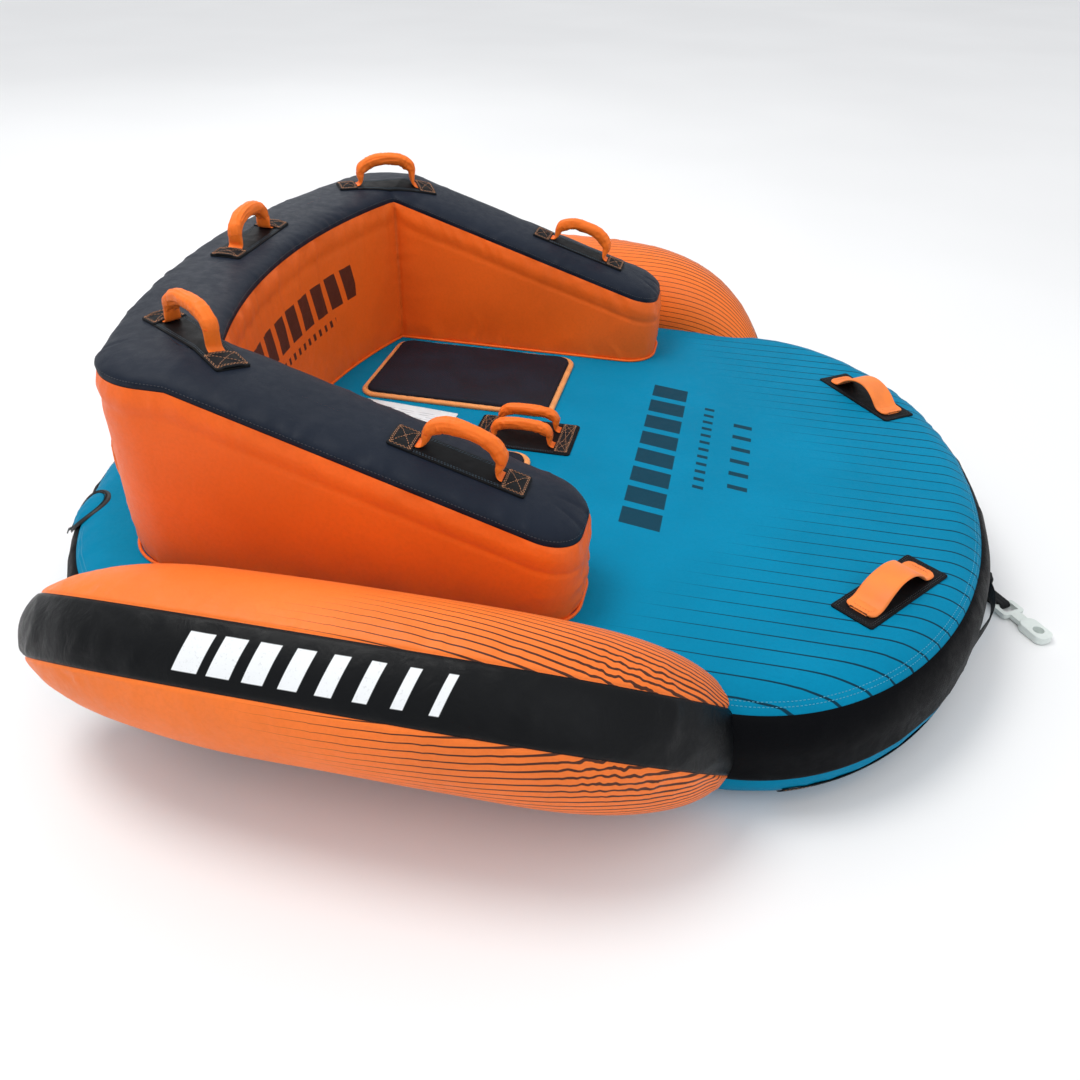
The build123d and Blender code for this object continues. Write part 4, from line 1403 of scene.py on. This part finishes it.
def make_tabs(name, place, form, nodes, lift, seed):
    """The sleeve's flat ends, from under the cross strips up into the sleeve. They bend at the base."""
    parts = []
    w, r, foot, around = form.half_span, 0.009, 0.0033, 44
    lower = [(x, foot) for x in np.linspace(w + 0.034, w + r, 12)]
    turn = [(w + r - r * math.sin(a), foot + r - r * math.cos(a))
            for a in np.linspace(0, math.pi / 2, 12)]
    rise = [(w, z) for z in np.linspace(foot + r, form.start + 0.008, 10)]
    line = upright(resample(np.array(lower + turn[1:] + rise[1:]), 0.0016))
    along = lengths(line)
    t = along / along[-1]
    go = ease((t - 0.45) / 0.5)
    width = form.tab * (1 - go) + form.sleeve_r * 0.90 * go
    height = 0.0011 * (1 - go) + form.sleeve_r * 0.54 * go
    a, s = np.meshgrid(turns(around), along)
    for side in (-1, 1):
        p = tube(line * (side, 1, 1), width, height, (0, 1, 0), around, squareness=2.8)
        folds = ridges(noise(np.cos(a) * form.tab / 0.0042, s / 0.03, seed=seed + side))
        shift = 0.0011 * folds * (0.15 + 0.85 * ease((t - 0.35) / 0.4))[:, None]
        points, faces, u, v = tube_part(p, shift, along)
        points = np.array(points)
        points[:, 2] += lift(points[:, 0], points[:, 1]) * ease((0.02 - points[:, 2]) / 0.012)
        parts.append((place.at(points).tolist(), faces, u, [x * 0.05 for x in v]))
    piece = joined(name, parts, "sleeve", nodes, body=None)
    start, end = (place.at([0, 0, z]).tolist() for z in (0.0045, 0.018))
    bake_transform(piece)


def make_handles():
    for k, (name, place) in enumerate(big_handles()):
        lift = top_lift(place)
        nodes = [name + "_patch"] + (["handle_cross_strips"] if k == 0 else [])
        make_patch(name + ".patch", place, 0.232, 0.062, lift, nodes)
        make_strips(name + ".strips", place, 0.0735, 0.1150, 0.061, lift, BIG.tab)
        make_tabs(name + ".tabs", place, BIG, (name + "_webbing",), lift, 300 + 9 * k)
        make_sleeve(name + ".sleeve", place, BIG, name, (name + "_sleeve",), 310 + 9 * k)
    lift = level(0.0016)
    for side, name in SIDES:
        place, name = rear_place(side), "rear_handle_" + name
        make_patch(name + ".patch", place, 0.176, 0.046, lift, (name + "_patch",))
        make_strips(name + ".strips", place, 0.0600, 0.0865, 0.045, lift, REAR.tab)
        make_tabs(name + ".tabs", place, REAR, (), lift, 400 + side)
        make_sleeve(name + ".sleeve", place, REAR, name, (name + "_loop",), 410 + side)


def make_centre():
    place = Place((-0.118, 0, DECK))
    apart = 0.034
    make_patch("centre_patch", place, 0.217, 0.134, level(), ("centre_grip_patch",), radius=0.008)
    make_strips("centre_strips", place, 0.072, 0.104, 0.126, level(), CENTRE.tab, apart)
    for side, name in SIDES:
        local, body = place.moved(0, side * apart), "centre_grip_" + name
        make_tabs(body + ".tabs", local, CENTRE, (body + "_webbing",), level(), 500 + side)
        make_sleeve(body + ".sleeve", local, CENTRE, body, (body + "_sleeve",), 510 + side)


# ---------------------------------------------------------------- seats, label, nose straps
def make_seats():
    length, width, corner, border = 0.451, 0.313, 0.038, 0.013
    inner_l, inner_w = length - 2 * border, width - 2 * border
    profile = [(0.0, -0.0005), (-0.0004, 0.004), (0.0, 0.009), (0.0014, 0.0124), (0.0040, 0.014)]
    angle = turns(18)
    c, s = np.cos(angle), np.sin(angle)
    s = np.sign(s) * np.abs(s) ** 0.8
    rings = []
    for side, name in SIDES:
        place = Place((-0.306, side * 0.243, DECK))

        def crown(a, b):
            edge = np.minimum(inner_l / 2 - np.abs(a), inner_w / 2 - np.abs(b))
            rise = 0.0024 * ease(edge / 0.07) - 0.0012 * bell(edge - 0.012, 0.0022)
            return rise + 0.0007 * noise(a / 0.06, b / 0.06, seed=70 + side)

        part = slab(place, inner_l, inner_w, corner - border, profile, crown, step=0.005, rings=30)
        joined(f"seat_pad.{name}", [part], "foam", (f"seat_pad_{name}",))
        # the piping's rings; two more than a round, for the tangents at the seam
        line = rounded_outline(length - border, width - border, corner - border / 2, 0.004)
        centre = with_height(np.vstack([line, line[:2]]), 0.0030)
        across = np.cross(tangents(centre), [0, 0, 1.0])[:, None, :]
        p = centre[:, None, :] + across * (c * (border / 2 + 0.0004))[None, :, None]
        along = lengths(centre)
        rib = 0.00022 * np.sin(along * 2 * math.pi / 0.0034)[:, None]
        p[:, :, 2] += s * 0.0054 + rib * np.maximum(s, 0)
        p = place.at(p[:-2])
        u, v = (np.broadcast_to(k, p.shape[:2]).ravel().tolist()
                for k in (along[:-2, None], angle * 0.008))
        faces = grid_faces(*p.shape[:2], wrap_u=True, wrap_v=True, flip=True)
        rings.append((p.reshape(-1, 3).tolist(), faces, u, v))
    joined("seat_pad_piping", rings, "piping", ("seat_pad_borders",))


def make_label():
    """A blank sewn label with generic ruled lines."""
    place = Place((-0.400, 0.010, DECK), flat_turn(-0.10))
    size = (0.225, 0.110)
    profile = [(0.0, -0.0002), (0.0, 0.0008), (0.0004, 0.0011)]

    def ripple(a, b):
        return 0.0009 + 0.0007 * noise(a / 0.035, b / 0.05, seed=81)

    part = slab(place, *size, 0.003, profile, ripple, step=0.004, rings=12)
    piece = joined("care_label", [part], "label")
    line = outline_line(place, *size, 0.003, ripple, 0.0011, 0.004)
    stitches("care_label_stitches", [line], "pale_thread", 0.0032, 0.0050, 0.00035)


STRAP_END, STRAP_THICK, STRAP_WIDTH, STRAP_BASE = 0.096, 0.005, 0.058, 0.0023


def strap_line():
    """A flat strap's arch (x, z) between its two flat ends."""
    span, rise = 0.070, 0.040
    radius = (span**2 + rise**2) / (2 * rise)
    x = np.linspace(-STRAP_END, STRAP_END, 118)
    reach = np.minimum(np.abs(x) / span, 1)
    flat = STRAP_THICK / 2
    arch = np.sqrt(np.maximum((radius - flat) ** 2 - x**2, 0)) - (radius - rise)
    blend = 0.4 * 0.010**2 * bell(reach - 1, 0.25)
    z = 0.5 * (arch + flat + np.sqrt((arch - flat) ** 2 + blend))
    z = np.where(np.abs(x) > span + 0.006, flat, z)
    z = np.convolve(np.pad(z, 4, mode="edge"), np.ones(9) / 9, mode="valid")
    return resample(np.column_stack([x, np.maximum(z, flat)]), 0.0022)


def strap_grid(line, b, over):
    """The strap's rings: b goes across its width and over is its side; returns its half width too."""
    corner, border, groove_r = 0.012, 0.0085, 0.0012
    edge = STRAP_END - np.abs(line[:, :1])
    tip = corner - np.sqrt(np.maximum(corner**2 - (corner - edge) ** 2, 0))
    waist = 0.0022 * ease((0.06 - np.abs(line[:, :1])) / 0.05)
    half = STRAP_WIDTH / 2 - np.where(edge < corner, tip, 0) - waist
    tangent = tangents(line)
    rounding = 1 - (1 - np.minimum((1 - np.abs(b)) / 0.07, 1)) ** 2
    t = STRAP_THICK / 2 * np.sqrt(np.clip(rounding, 0.02, 1))
    from_border = np.abs(b) * half - (half - border)
    ends = np.maximum(bell(edge - border, groove_r), bell(edge - 0.024, groove_r)) * (from_border < 0)
    groove = 0.0009 * np.maximum(bell(from_border, groove_r), ends) * (edge < 0.0275)
    height = over * t - np.where(over > 0, groove, 0)
    x, z = line[:, :1] - tangent[:, 1:] * height, line[:, 1:] + tangent[:, :1] * height
    return np.stack([x, b * half, z + STRAP_BASE], 2), half


def make_nose_straps():
    steps = np.linspace(-1, 1, 25)
    b, over = np.concatenate([steps, steps[::-1]]), np.repeat([1.0, -1.0], 25)
    line = strap_line()
    p, half = strap_grid(line, b, over)
    along = np.repeat(line[:, 0], len(b)).tolist() + [line[0, 0], line[-1, 0]]
    across = (b * half).ravel().tolist() + [0, 0]
    nodes = ["nose_strap_patches"]
    for side, name in SIDES:
        place = Place((0.612, side * 0.380, DECK), flat_turn(side * math.radians(-52.5)))
        label = f"nose_strap_{name}"
        make_patch(f"{label}.patch", place, 0.234, 0.083, level(), nodes, 0.005, "dark_thread")
        nodes = []
        points, faces, _, _ = place.part(tube_part(p))
        faces = [face[::-1] for face in faces]
        joined(f"{label}.strap", [(points, faces, along, across)], "eva", (label,))
        ring = closed(rounded_outline(0.016, STRAP_WIDTH - 0.020, 0.0079, 0.002))
        ring = with_height(ring, STRAP_BASE + STRAP_THICK - 0.0003)
        lines = [(place.moved(s * (STRAP_END - 0.0165)).at(ring), place.z) for s in (-1, 1)]
        stitches(f"{label}.stitches", lines, "orange_thread", 0.0036, 0.0052, 0.00045)


# ---------------------------------------------------------------- valve pocket
SLIDER_R = 0.0475
ZIP_SECTION = (
    (ZIP_IN + 0.0026, -0.0030), (ZIP_IN - 0.0004, -0.0012), (ZIP_IN, 0.0010), (ZIP_IN + 0.0016, 0.0024),
    (0.0455, 0.0028), (0.0463, 0.0022), (0.0472, 0.0028), (ZIP_OUT - 0.0016, 0.0024),
    (ZIP_OUT, 0.0010), (ZIP_OUT + 0.0006, -0.0010),
)


def pocket_at(r, angles, lift):
    """A ring that lies lift over the hull's surface round the pocket."""
    return POCKET.at(ring_row(r, angles, lambda x, y: lift - hull_surface_drop(x, y)))


def make_flap():
    edge, angles, shares = 0.0416, turns(144), np.linspace(0, 1, 26)
    rows = []
    for t, top in [(t, 1) for t in shares] + [(t, -1) for t in shares[-2::-1]]:
        r = edge * t
        bulge = 0.0042 * (1 - t**2) + 0.0006
        puff = 0.0011 * noise(r * np.cos(angles) / 0.011, r * np.sin(angles) / 0.011, seed=91)
        ray = 0.0008 * noise(angles * 3.2, t * 2.0, seed=92) * t
        rows.append(pocket_at(r, angles, bulge + (puff + ray) * (1 - t**6) + top * 0.0006 * (1 - t**8)))
    flap = round_skin("valve_flap_cover", np.array(rows), 0.02, 0.08, "deck_plain", body=None,
                      nodes=("valve_flap",), slot="deck_fabric", weld=PANEL_WELD)
    start, end = (POCKET.at([x, 0, -0.004]).tolist() for x in (edge, edge - 0.020))
    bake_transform(flap)


def make_slider():
    angle = math.radians(42)
    c, s = math.cos(angle), math.sin(angle)
    x, y = SLIDER_R * c, SLIDER_R * s
    local_z = float(-hull_surface_drop(np.array(x), np.array(y)))
    round_it = np.cross(POCKET.z, POCKET.x * c + POCKET.y * s)
    local = Place(POCKET.at([x, y, local_z + 0.0030]), round_it, POCKET.z)
    line = upright(np.column_stack([np.linspace(-0.0055, 0.0055, 12), np.full(12, 0.0019)]))
    wide = 0.0032 + 0.0012 * np.cos(np.linspace(-math.pi, math.pi, 12))
    block = tube(line, wide, 0.0017, (0, 1, 0), around=14, squareness=3.2)
    x = np.linspace(0.0, 0.010, 16)
    drop = hull_surface_drop((SLIDER_R + x) * c, (SLIDER_R + x) * s)
    line = np.column_stack([np.zeros(16), -x, 0.0038 - drop - local_z])
    wide = 0.0024 + 0.0009 * np.sin(x / 0.010 * math.pi)
    pull = tube(line, wide, 0.0009, (1, 0, 0), around=12, squareness=3.0)
    joined("valve_zip_pull", [local.part(tube_part(q)) for q in (block, pull)], "slider",
           ("valve_zip_slider",), "valve_zip_slider")


def make_valve():
    angles = turns(144)
    p = np.array([pocket_at(r, angles, z) for r, z in ZIP_SECTION])
    round_skin("valve_zip_tape", p, 0.047, 0.012, "zip", nodes=("valve_zip_ring",), slot="zip")
    around = np.linspace(0, 2 * math.pi, 220)
    teeth = [(pocket_at(r, around, 0.0029), POCKET.z) for r in (0.0457, 0.0470)]
    stitches("valve_zip_teeth", teeth, "zip", 0.0011, 0.0020, 0.0009)
    make_flap()
    make_slider()
    angles = turns(72)
    rows = []
    for r in np.linspace(FILM_IN, 0.0475, 16):
        t = (r - FILM_IN) / 0.029
        depth = -0.0098 - 0.0010 * math.sin(t * 9) * (1 - t)
        wall = ease((r - 0.036) / 0.009)
        rows.append(ring_row(r, angles, lambda x, y: depth * (1 - wall) + wall * np.minimum(
            -hull_surface_drop(x, y) - 0.0042, depth)))
    round_skin("deck_valve_pocket", POCKET.at(np.array(rows)), 0.04, 0.03, "pvc", slot="air_chamber")


# ---------------------------------------------------------------- tow bridle
BRIDLE_Z, BRIDLE_HALF = 0.0375, 0.0175
APEX = np.array([0.872, -0.038])


def bridle_line(side):
    """One arm's line on the ground plane: along the hull's nose, then free to the tow loop."""
    angles = np.radians(np.linspace(76, 24, 90))
    ring = np.stack([NOSE_X + (NOSE_A - 0.0015) * np.cos(angles),
                     side * (HULL_HALF - 0.0015) * np.sin(angles)], 1)
    leave, finish = ring[-1], APEX + (0, side * 0.014)
    span = np.linalg.norm(finish - leave)
    start_dir, end_dir = unit(ring[-1] - ring[-2]) * span, unit([-0.25, -side * 1.0]) * span
    t = np.linspace(0, 1, 60)[1:, None]
    slack = ((2 * t**3 - 3 * t**2 + 1) * leave + (t**3 - 2 * t**2 + t) * start_dir
             + (3 * t**2 - 2 * t**3) * finish + (t**3 - t**2) * end_dir)
    return resample(np.vstack([ring, slack]), 0.006)


def make_bridle():
    steps = np.linspace(-1, 1, 15)
    section = [(s, 1) for s in steps] + [(s, -1) for s in steps[::-1]]
    for side, name in SIDES:
        line = bridle_line(side)
        along, tangent = lengths(line), tangents(line)
        out = np.column_stack([-tangent[:, 1], tangent[:, 0]]) * side
        on_hull = 1 - ease((along - 0.42) / 0.16)
        rows = []
        for s, face in section:
            z = BRIDLE_Z + s * BRIDLE_HALF * (1 - 0.25 * on_hull)
            inset = RIM - np.sqrt(np.maximum(RIM**2 - (RIM - z) ** 2, 0)) - 0.0042
            edge = math.sqrt(max(0.02, 1 - abs(s) ** 8))
            rib = 0.00018 * math.sin(s * BRIDLE_HALF * 2 * math.pi / 0.0035)
            sway = 0.0022 * noise(along / 0.10, s * 0.6, seed=600 + side) * (1 - on_hull)
            away = -(inset * on_hull) + face * (0.0012 + rib) * edge + sway
            rows.append(with_height(line + out * away[:, None], z))
        points, faces, _, _ = tube_part(np.array(rows).transpose(1, 0, 2))
        if side < 0:
            faces = [face[::-1] for face in faces]
        u = np.repeat(along, len(section)).tolist() + [0, along[-1]]
        v = [s * BRIDLE_HALF for s, _ in section] * len(line) + [0, 0]
        joined(f"tow_bridle.{name}", [(points, faces, u, v)], "webbing", (f"tow_bridle_{name}",))
        lines = []
        for s in (-0.5, 0.5):
            z = BRIDLE_Z + s * BRIDLE_HALF * 1.5
            inset = RIM - math.sqrt(RIM**2 - (RIM - z) ** 2) - 0.0062
            lines.append((with_height(line[:9] - out[:9] * inset, z), with_height(out[:9], 0.0).mean(0)))
        stitches(f"tow_bridle_stitches.{name}", lines, "tan_thread")
    make_tow_loop()


def make_tow_loop():
    """The webbing that holds the connector's bar, and the block where it leaves the bridle."""
    place = Place((0.9059, -0.0720, 0.0087), flat_turn(math.radians(-56)))
    mid, legs = 0.0067, 0.050
    leg = np.linspace(-legs, 0, 18)
    path = [(x, -mid) for x in leg]
    path += [(mid * math.sin(t), -mid * math.cos(t)) for t in np.linspace(0, math.pi, 20)[1:]]
    path += [(x, mid) for x in leg[-2::-1]]
    centre = upright(resample(np.array(path), 0.0018))
    web = tube(centre, 0.0125, 0.0012, (0, 1, 0), 26, squareness=5)
    points, faces, u, v = place.part(tube_part(web))
    block = Place((*APEX, 0.0))
    profile = [(0.0016, 0.0015), (0.0, 0.004), (0.0, 0.0515), (0.0016, 0.0545)]
    parts = [(points, faces, u, [x * 0.05 for x in v]),
             slab(block, 0.016, 0.028, 0.004, profile, None, step=0.002, rings=4)]
    joined("tow_loop_webbing", parts, "webbing", ("tow_loop",))
    lines = [(block.at([[0.0081, s * 0.009, z] for z in np.linspace(0.006, 0.050, 24)]), (1, 0, 0))
             for s in (-1, 1)]
    stitches("tow_loop_stitches", lines, "tan_thread")


# ---------------------------------------------------------------- paints
def moulded(name, code, rough, coat=0.0, vary=0.06):
    paint = Paint(name, code)
    tone = paint.mottled(paint.noise(30.0, 3.0), 0.3, 0.7, 1 - vary, 1 + vary)
    scuff = paint.noise(240.0, 4.0, 0.65, 0.8)
    tone = paint.shaded(tone, scuff, 0.62, 0.72, 0.25, 1.35)
    roughness = paint.range(scuff, 0.3, 0.7, rough - 0.06, rough + 0.10)
    normal = paint.bump(paint.noise(900.0, 2.0), 0.35, 0.00025)
    return paint.finish(colour=tone, rough=roughness, normal=normal, coat=coat, coat_rough=0.25)


def embossed_foam():
    """Closed-cell foam with a fine embossed diamond grid, its grooves painted darker as painted shade.
    """
    paint = Paint("embossed_foam", "#191C27")
    u, v = paint.u, paint.v
    grid = [paint.stripes(k, 0.0075, 0.22) for k in (paint.add(u, v), paint.sub(u, v))]
    groove = paint.math("MAXIMUM", *grid)
    wide = paint.noise(14.0, 4.0, 0.6)
    tone = paint.mottled(wide, 0.35, 0.7, 0.85, 1.30)
    # painted shade: the sunken grooves of the embossed grid are painted darker
    tone = paint.mix(paint.mul(groove, 0.55), tone, paint.shade(0.45))
    normal = paint.bump(paint.sub(1.0, groove), 0.5, 0.0007)
    normal = paint.bump(paint.pores(1500.0), 0.25, 0.0003, normal)
    return paint.finish(colour=tone, rough=paint.range(wide, 0.3, 0.7, 0.62, 0.78), normal=normal,
                        specular=0.18)


def piping_cloth():
    paint = Paint("piping_cloth", "#F09A50")
    twill = paint.wave(paint.add(paint.u, paint.v), 0.0024)
    wide = paint.noise(40.0, 3.0)
    tone = paint.mottled(wide, 0.3, 0.7, 0.86, 1.06)
    # painted shade: the twill's sunken lines are painted darker
    tone = paint.shaded(tone, twill, -0.2, -0.9, 0.35, 0.6)
    return paint.finish(colour=tone, rough=paint.range(wide, 0.3, 0.7, 0.5, 0.68),
                        normal=paint.bump(twill, 0.4, 0.0003), sheen=0.2)


def ribbed_webbing():
    paint = Paint("ribbed_webbing", "#0E1013")
    rib = paint.wave(paint.v, 0.0022)
    height = paint.mul_add(paint.wave(paint.u, 0.0014), 0.35, rib)
    wide = paint.noise(55.0, 4.0, 0.6)
    tone = paint.mottled(wide, 0.3, 0.7, 0.75, 1.5)
    # painted highlight: the raised crown of each rib is painted lighter
    tone = paint.shaded(tone, rib, 0.0, 0.9, 0.35, 2.0)
    return paint.finish(colour=tone, rough=paint.range(wide, 0.3, 0.7, 0.55, 0.75),
                        normal=paint.bump(height, 0.55, 0.0004), specular=0.2)


def thread(name, code):
    paint = Paint(name, code)
    twist = paint.noise(1400.0, 2.0)
    tone = paint.mottled(twist, 0.3, 0.7, 0.72, 1.12)
    tone = paint.shaded(tone, paint.noise(12.0, 2.0), 0.3, 0.7, 0.3, 0.8)
    return paint.finish(colour=tone, rough=paint.range(twist, 0.3, 0.7, 0.5, 0.7), sheen=0.2)


def strap_foam():
    paint = Paint("strap_foam", "#F5802C")
    wide, pores = paint.noise(18.0, 3.0), paint.pores(1100.0)
    tone = paint.mottled(wide, 0.3, 0.7, 0.88, 1.08)
    # painted shade: the sunken pits of the pores are painted darker
    tone = paint.shaded(tone, pores, 0.25, 0.0, 0.22, 0.65)
    normal = paint.bump(paint.noise(60.0, 3.0), 0.25, 0.001, paint.bump(pores, 0.30, 0.00035))
    return paint.finish(colour=tone, rough=paint.range(wide, 0.3, 0.7, 0.5, 0.64), normal=normal,
                        sheen=0.08)


def label_cloth():
    paint = Paint("label_cloth", "#DCE3E6")
    u, v = paint.u, paint.v
    dash = paint.range(paint.stretched_noise(paint.mul(u, 30.0), paint.mul(v, 114.0)), 0.44, 0.50)
    inside = paint.mul(paint.within(u, -0.096, 0.096), paint.within(v, -0.036, 0.036))
    wide = paint.noise(30.0, 3.0)
    tone = paint.mottled(wide, 0.3, 0.7, 0.9, 1.0)
    tone = paint.mix(paint.mul(paint.stripes(v, 0.0088, 0.34), dash, inside, 0.5), tone, rgb("#7C858C"))
    return paint.finish(colour=tone, rough=paint.range(wide, 0.3, 0.7, 0.5, 0.65),
                        normal=paint.bump(paint.weave(0.0009), 0.2, 0.0001))


def make_floor():
    paint = Paint("studio_floor")
    light, dark = (0.87, 0.875, 0.88, 1), (0.84, 0.845, 0.85, 1)
    tone = paint.mix(paint.range(paint.noise(0.6, 2.0), 0.3, 0.7), dark, light)
    size = 60.0
    corners = [(-size, -size, 0), (size, -size, 0), (size, size, 0), (-size, size, 0)]
    floor = new_object("studio_floor", corners, [(0, 1, 2, 3)])
    floor.location.z = -0.0008
    floor.data.materials.append(paint.finish(colour=tone, rough=0.85))


def make_paints():
    teal, orange = "#047DA3", "#F0681A"
    return {
        "deck": coated("deck_cloth", teal, 0.50, 0.0, deck_pattern, 0.35, 0.03),
        "deck_plain": coated("plain_teal_cloth", teal, 0.50, specular=0.03),
        "band": coated("black_cloth", "#050609", 0.50, specular=0.05),
        "wing": coated("wing_cloth", "#F0762A", 0.46, 0.03, wing_pattern),
        "wing_band": coated("wing_band_cloth", "#06080B", 0.36, 0.0, band_pattern, 1.0, 0.16),
        "orange": coated("orange_cloth", orange, 0.46, 0.03),
        "backrest": coated("backrest_cloth", orange, 0.48, 0.03, bolster_pattern, 0.5),
        "navy": coated("navy_cloth", "#0E1827", 0.50, 0.02, specular=0.18),
        "sleeve": coated("sleeve_cloth", "#F37420", 0.52, 0.05, crinkle=0.8),
        "patch": coated("patch_cloth", "#080A0D", 0.52, crinkle=0.3, specular=0.12),
        "pvc": coated("chamber_film", "#202226", 0.30, crinkle=0.5, specular=0.30),
        "webbing": ribbed_webbing(),
        "foam": embossed_foam(),
        "piping": piping_cloth(),
        "eva": strap_foam(),
        "label": label_cloth(),
        "zip": moulded("zip_tape", "#0A0C0F", 0.50),
        "slider": moulded("zip_slider", "#24272B", 0.32, coat=0.2),
        "valve": moulded("valve_plastic", "#1F2125", 0.38, coat=0.15),
        "connector": moulded("connector_nylon", "#D6DEDA", 0.34, coat=0.25, vary=0.04),
        "tan_thread": thread("tan_thread", "#C98A5C"),
        "blue_thread": thread("pale_blue_thread", "#3FA3C4"),
        "dark_thread": thread("dark_thread", "#1F2833"),
        "slate_thread": thread("slate_thread", "#4C6474"),
        "pale_thread": thread("pale_thread", "#C9D0D3"),
        "orange_thread": thread("orange_thread", "#B9480F"),
    }


def paint_carried_nodes():
    """The CAD nodes that stay shown get their plastics here."""
    kinds = {"valve": ("deck_valve", "deck_valve_cap", "chamber_valves", "wing_valve_cap_left",
                       "wing_valve_cap_right", "bolster_valve_cap"),
             "connector": ("tow_connector",)}
    for key, names in kinds.items():
        for name in names:
            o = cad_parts[name]
            o.data.materials.clear()
            o.data.materials.append(PAINTS[key])
            for polygon in o.data.polygons:
                polygon.material_index = 0


make_camera()
make_studio()
make_floor()
PAINTS = make_paints()
make_hull()
for side, name in SIDES:
    make_wing(side, name)
make_bolster()
make_handles()
make_centre()
make_seats()
make_label()
make_nose_straps()
make_valve()
make_bridle()
paint_carried_nodes()
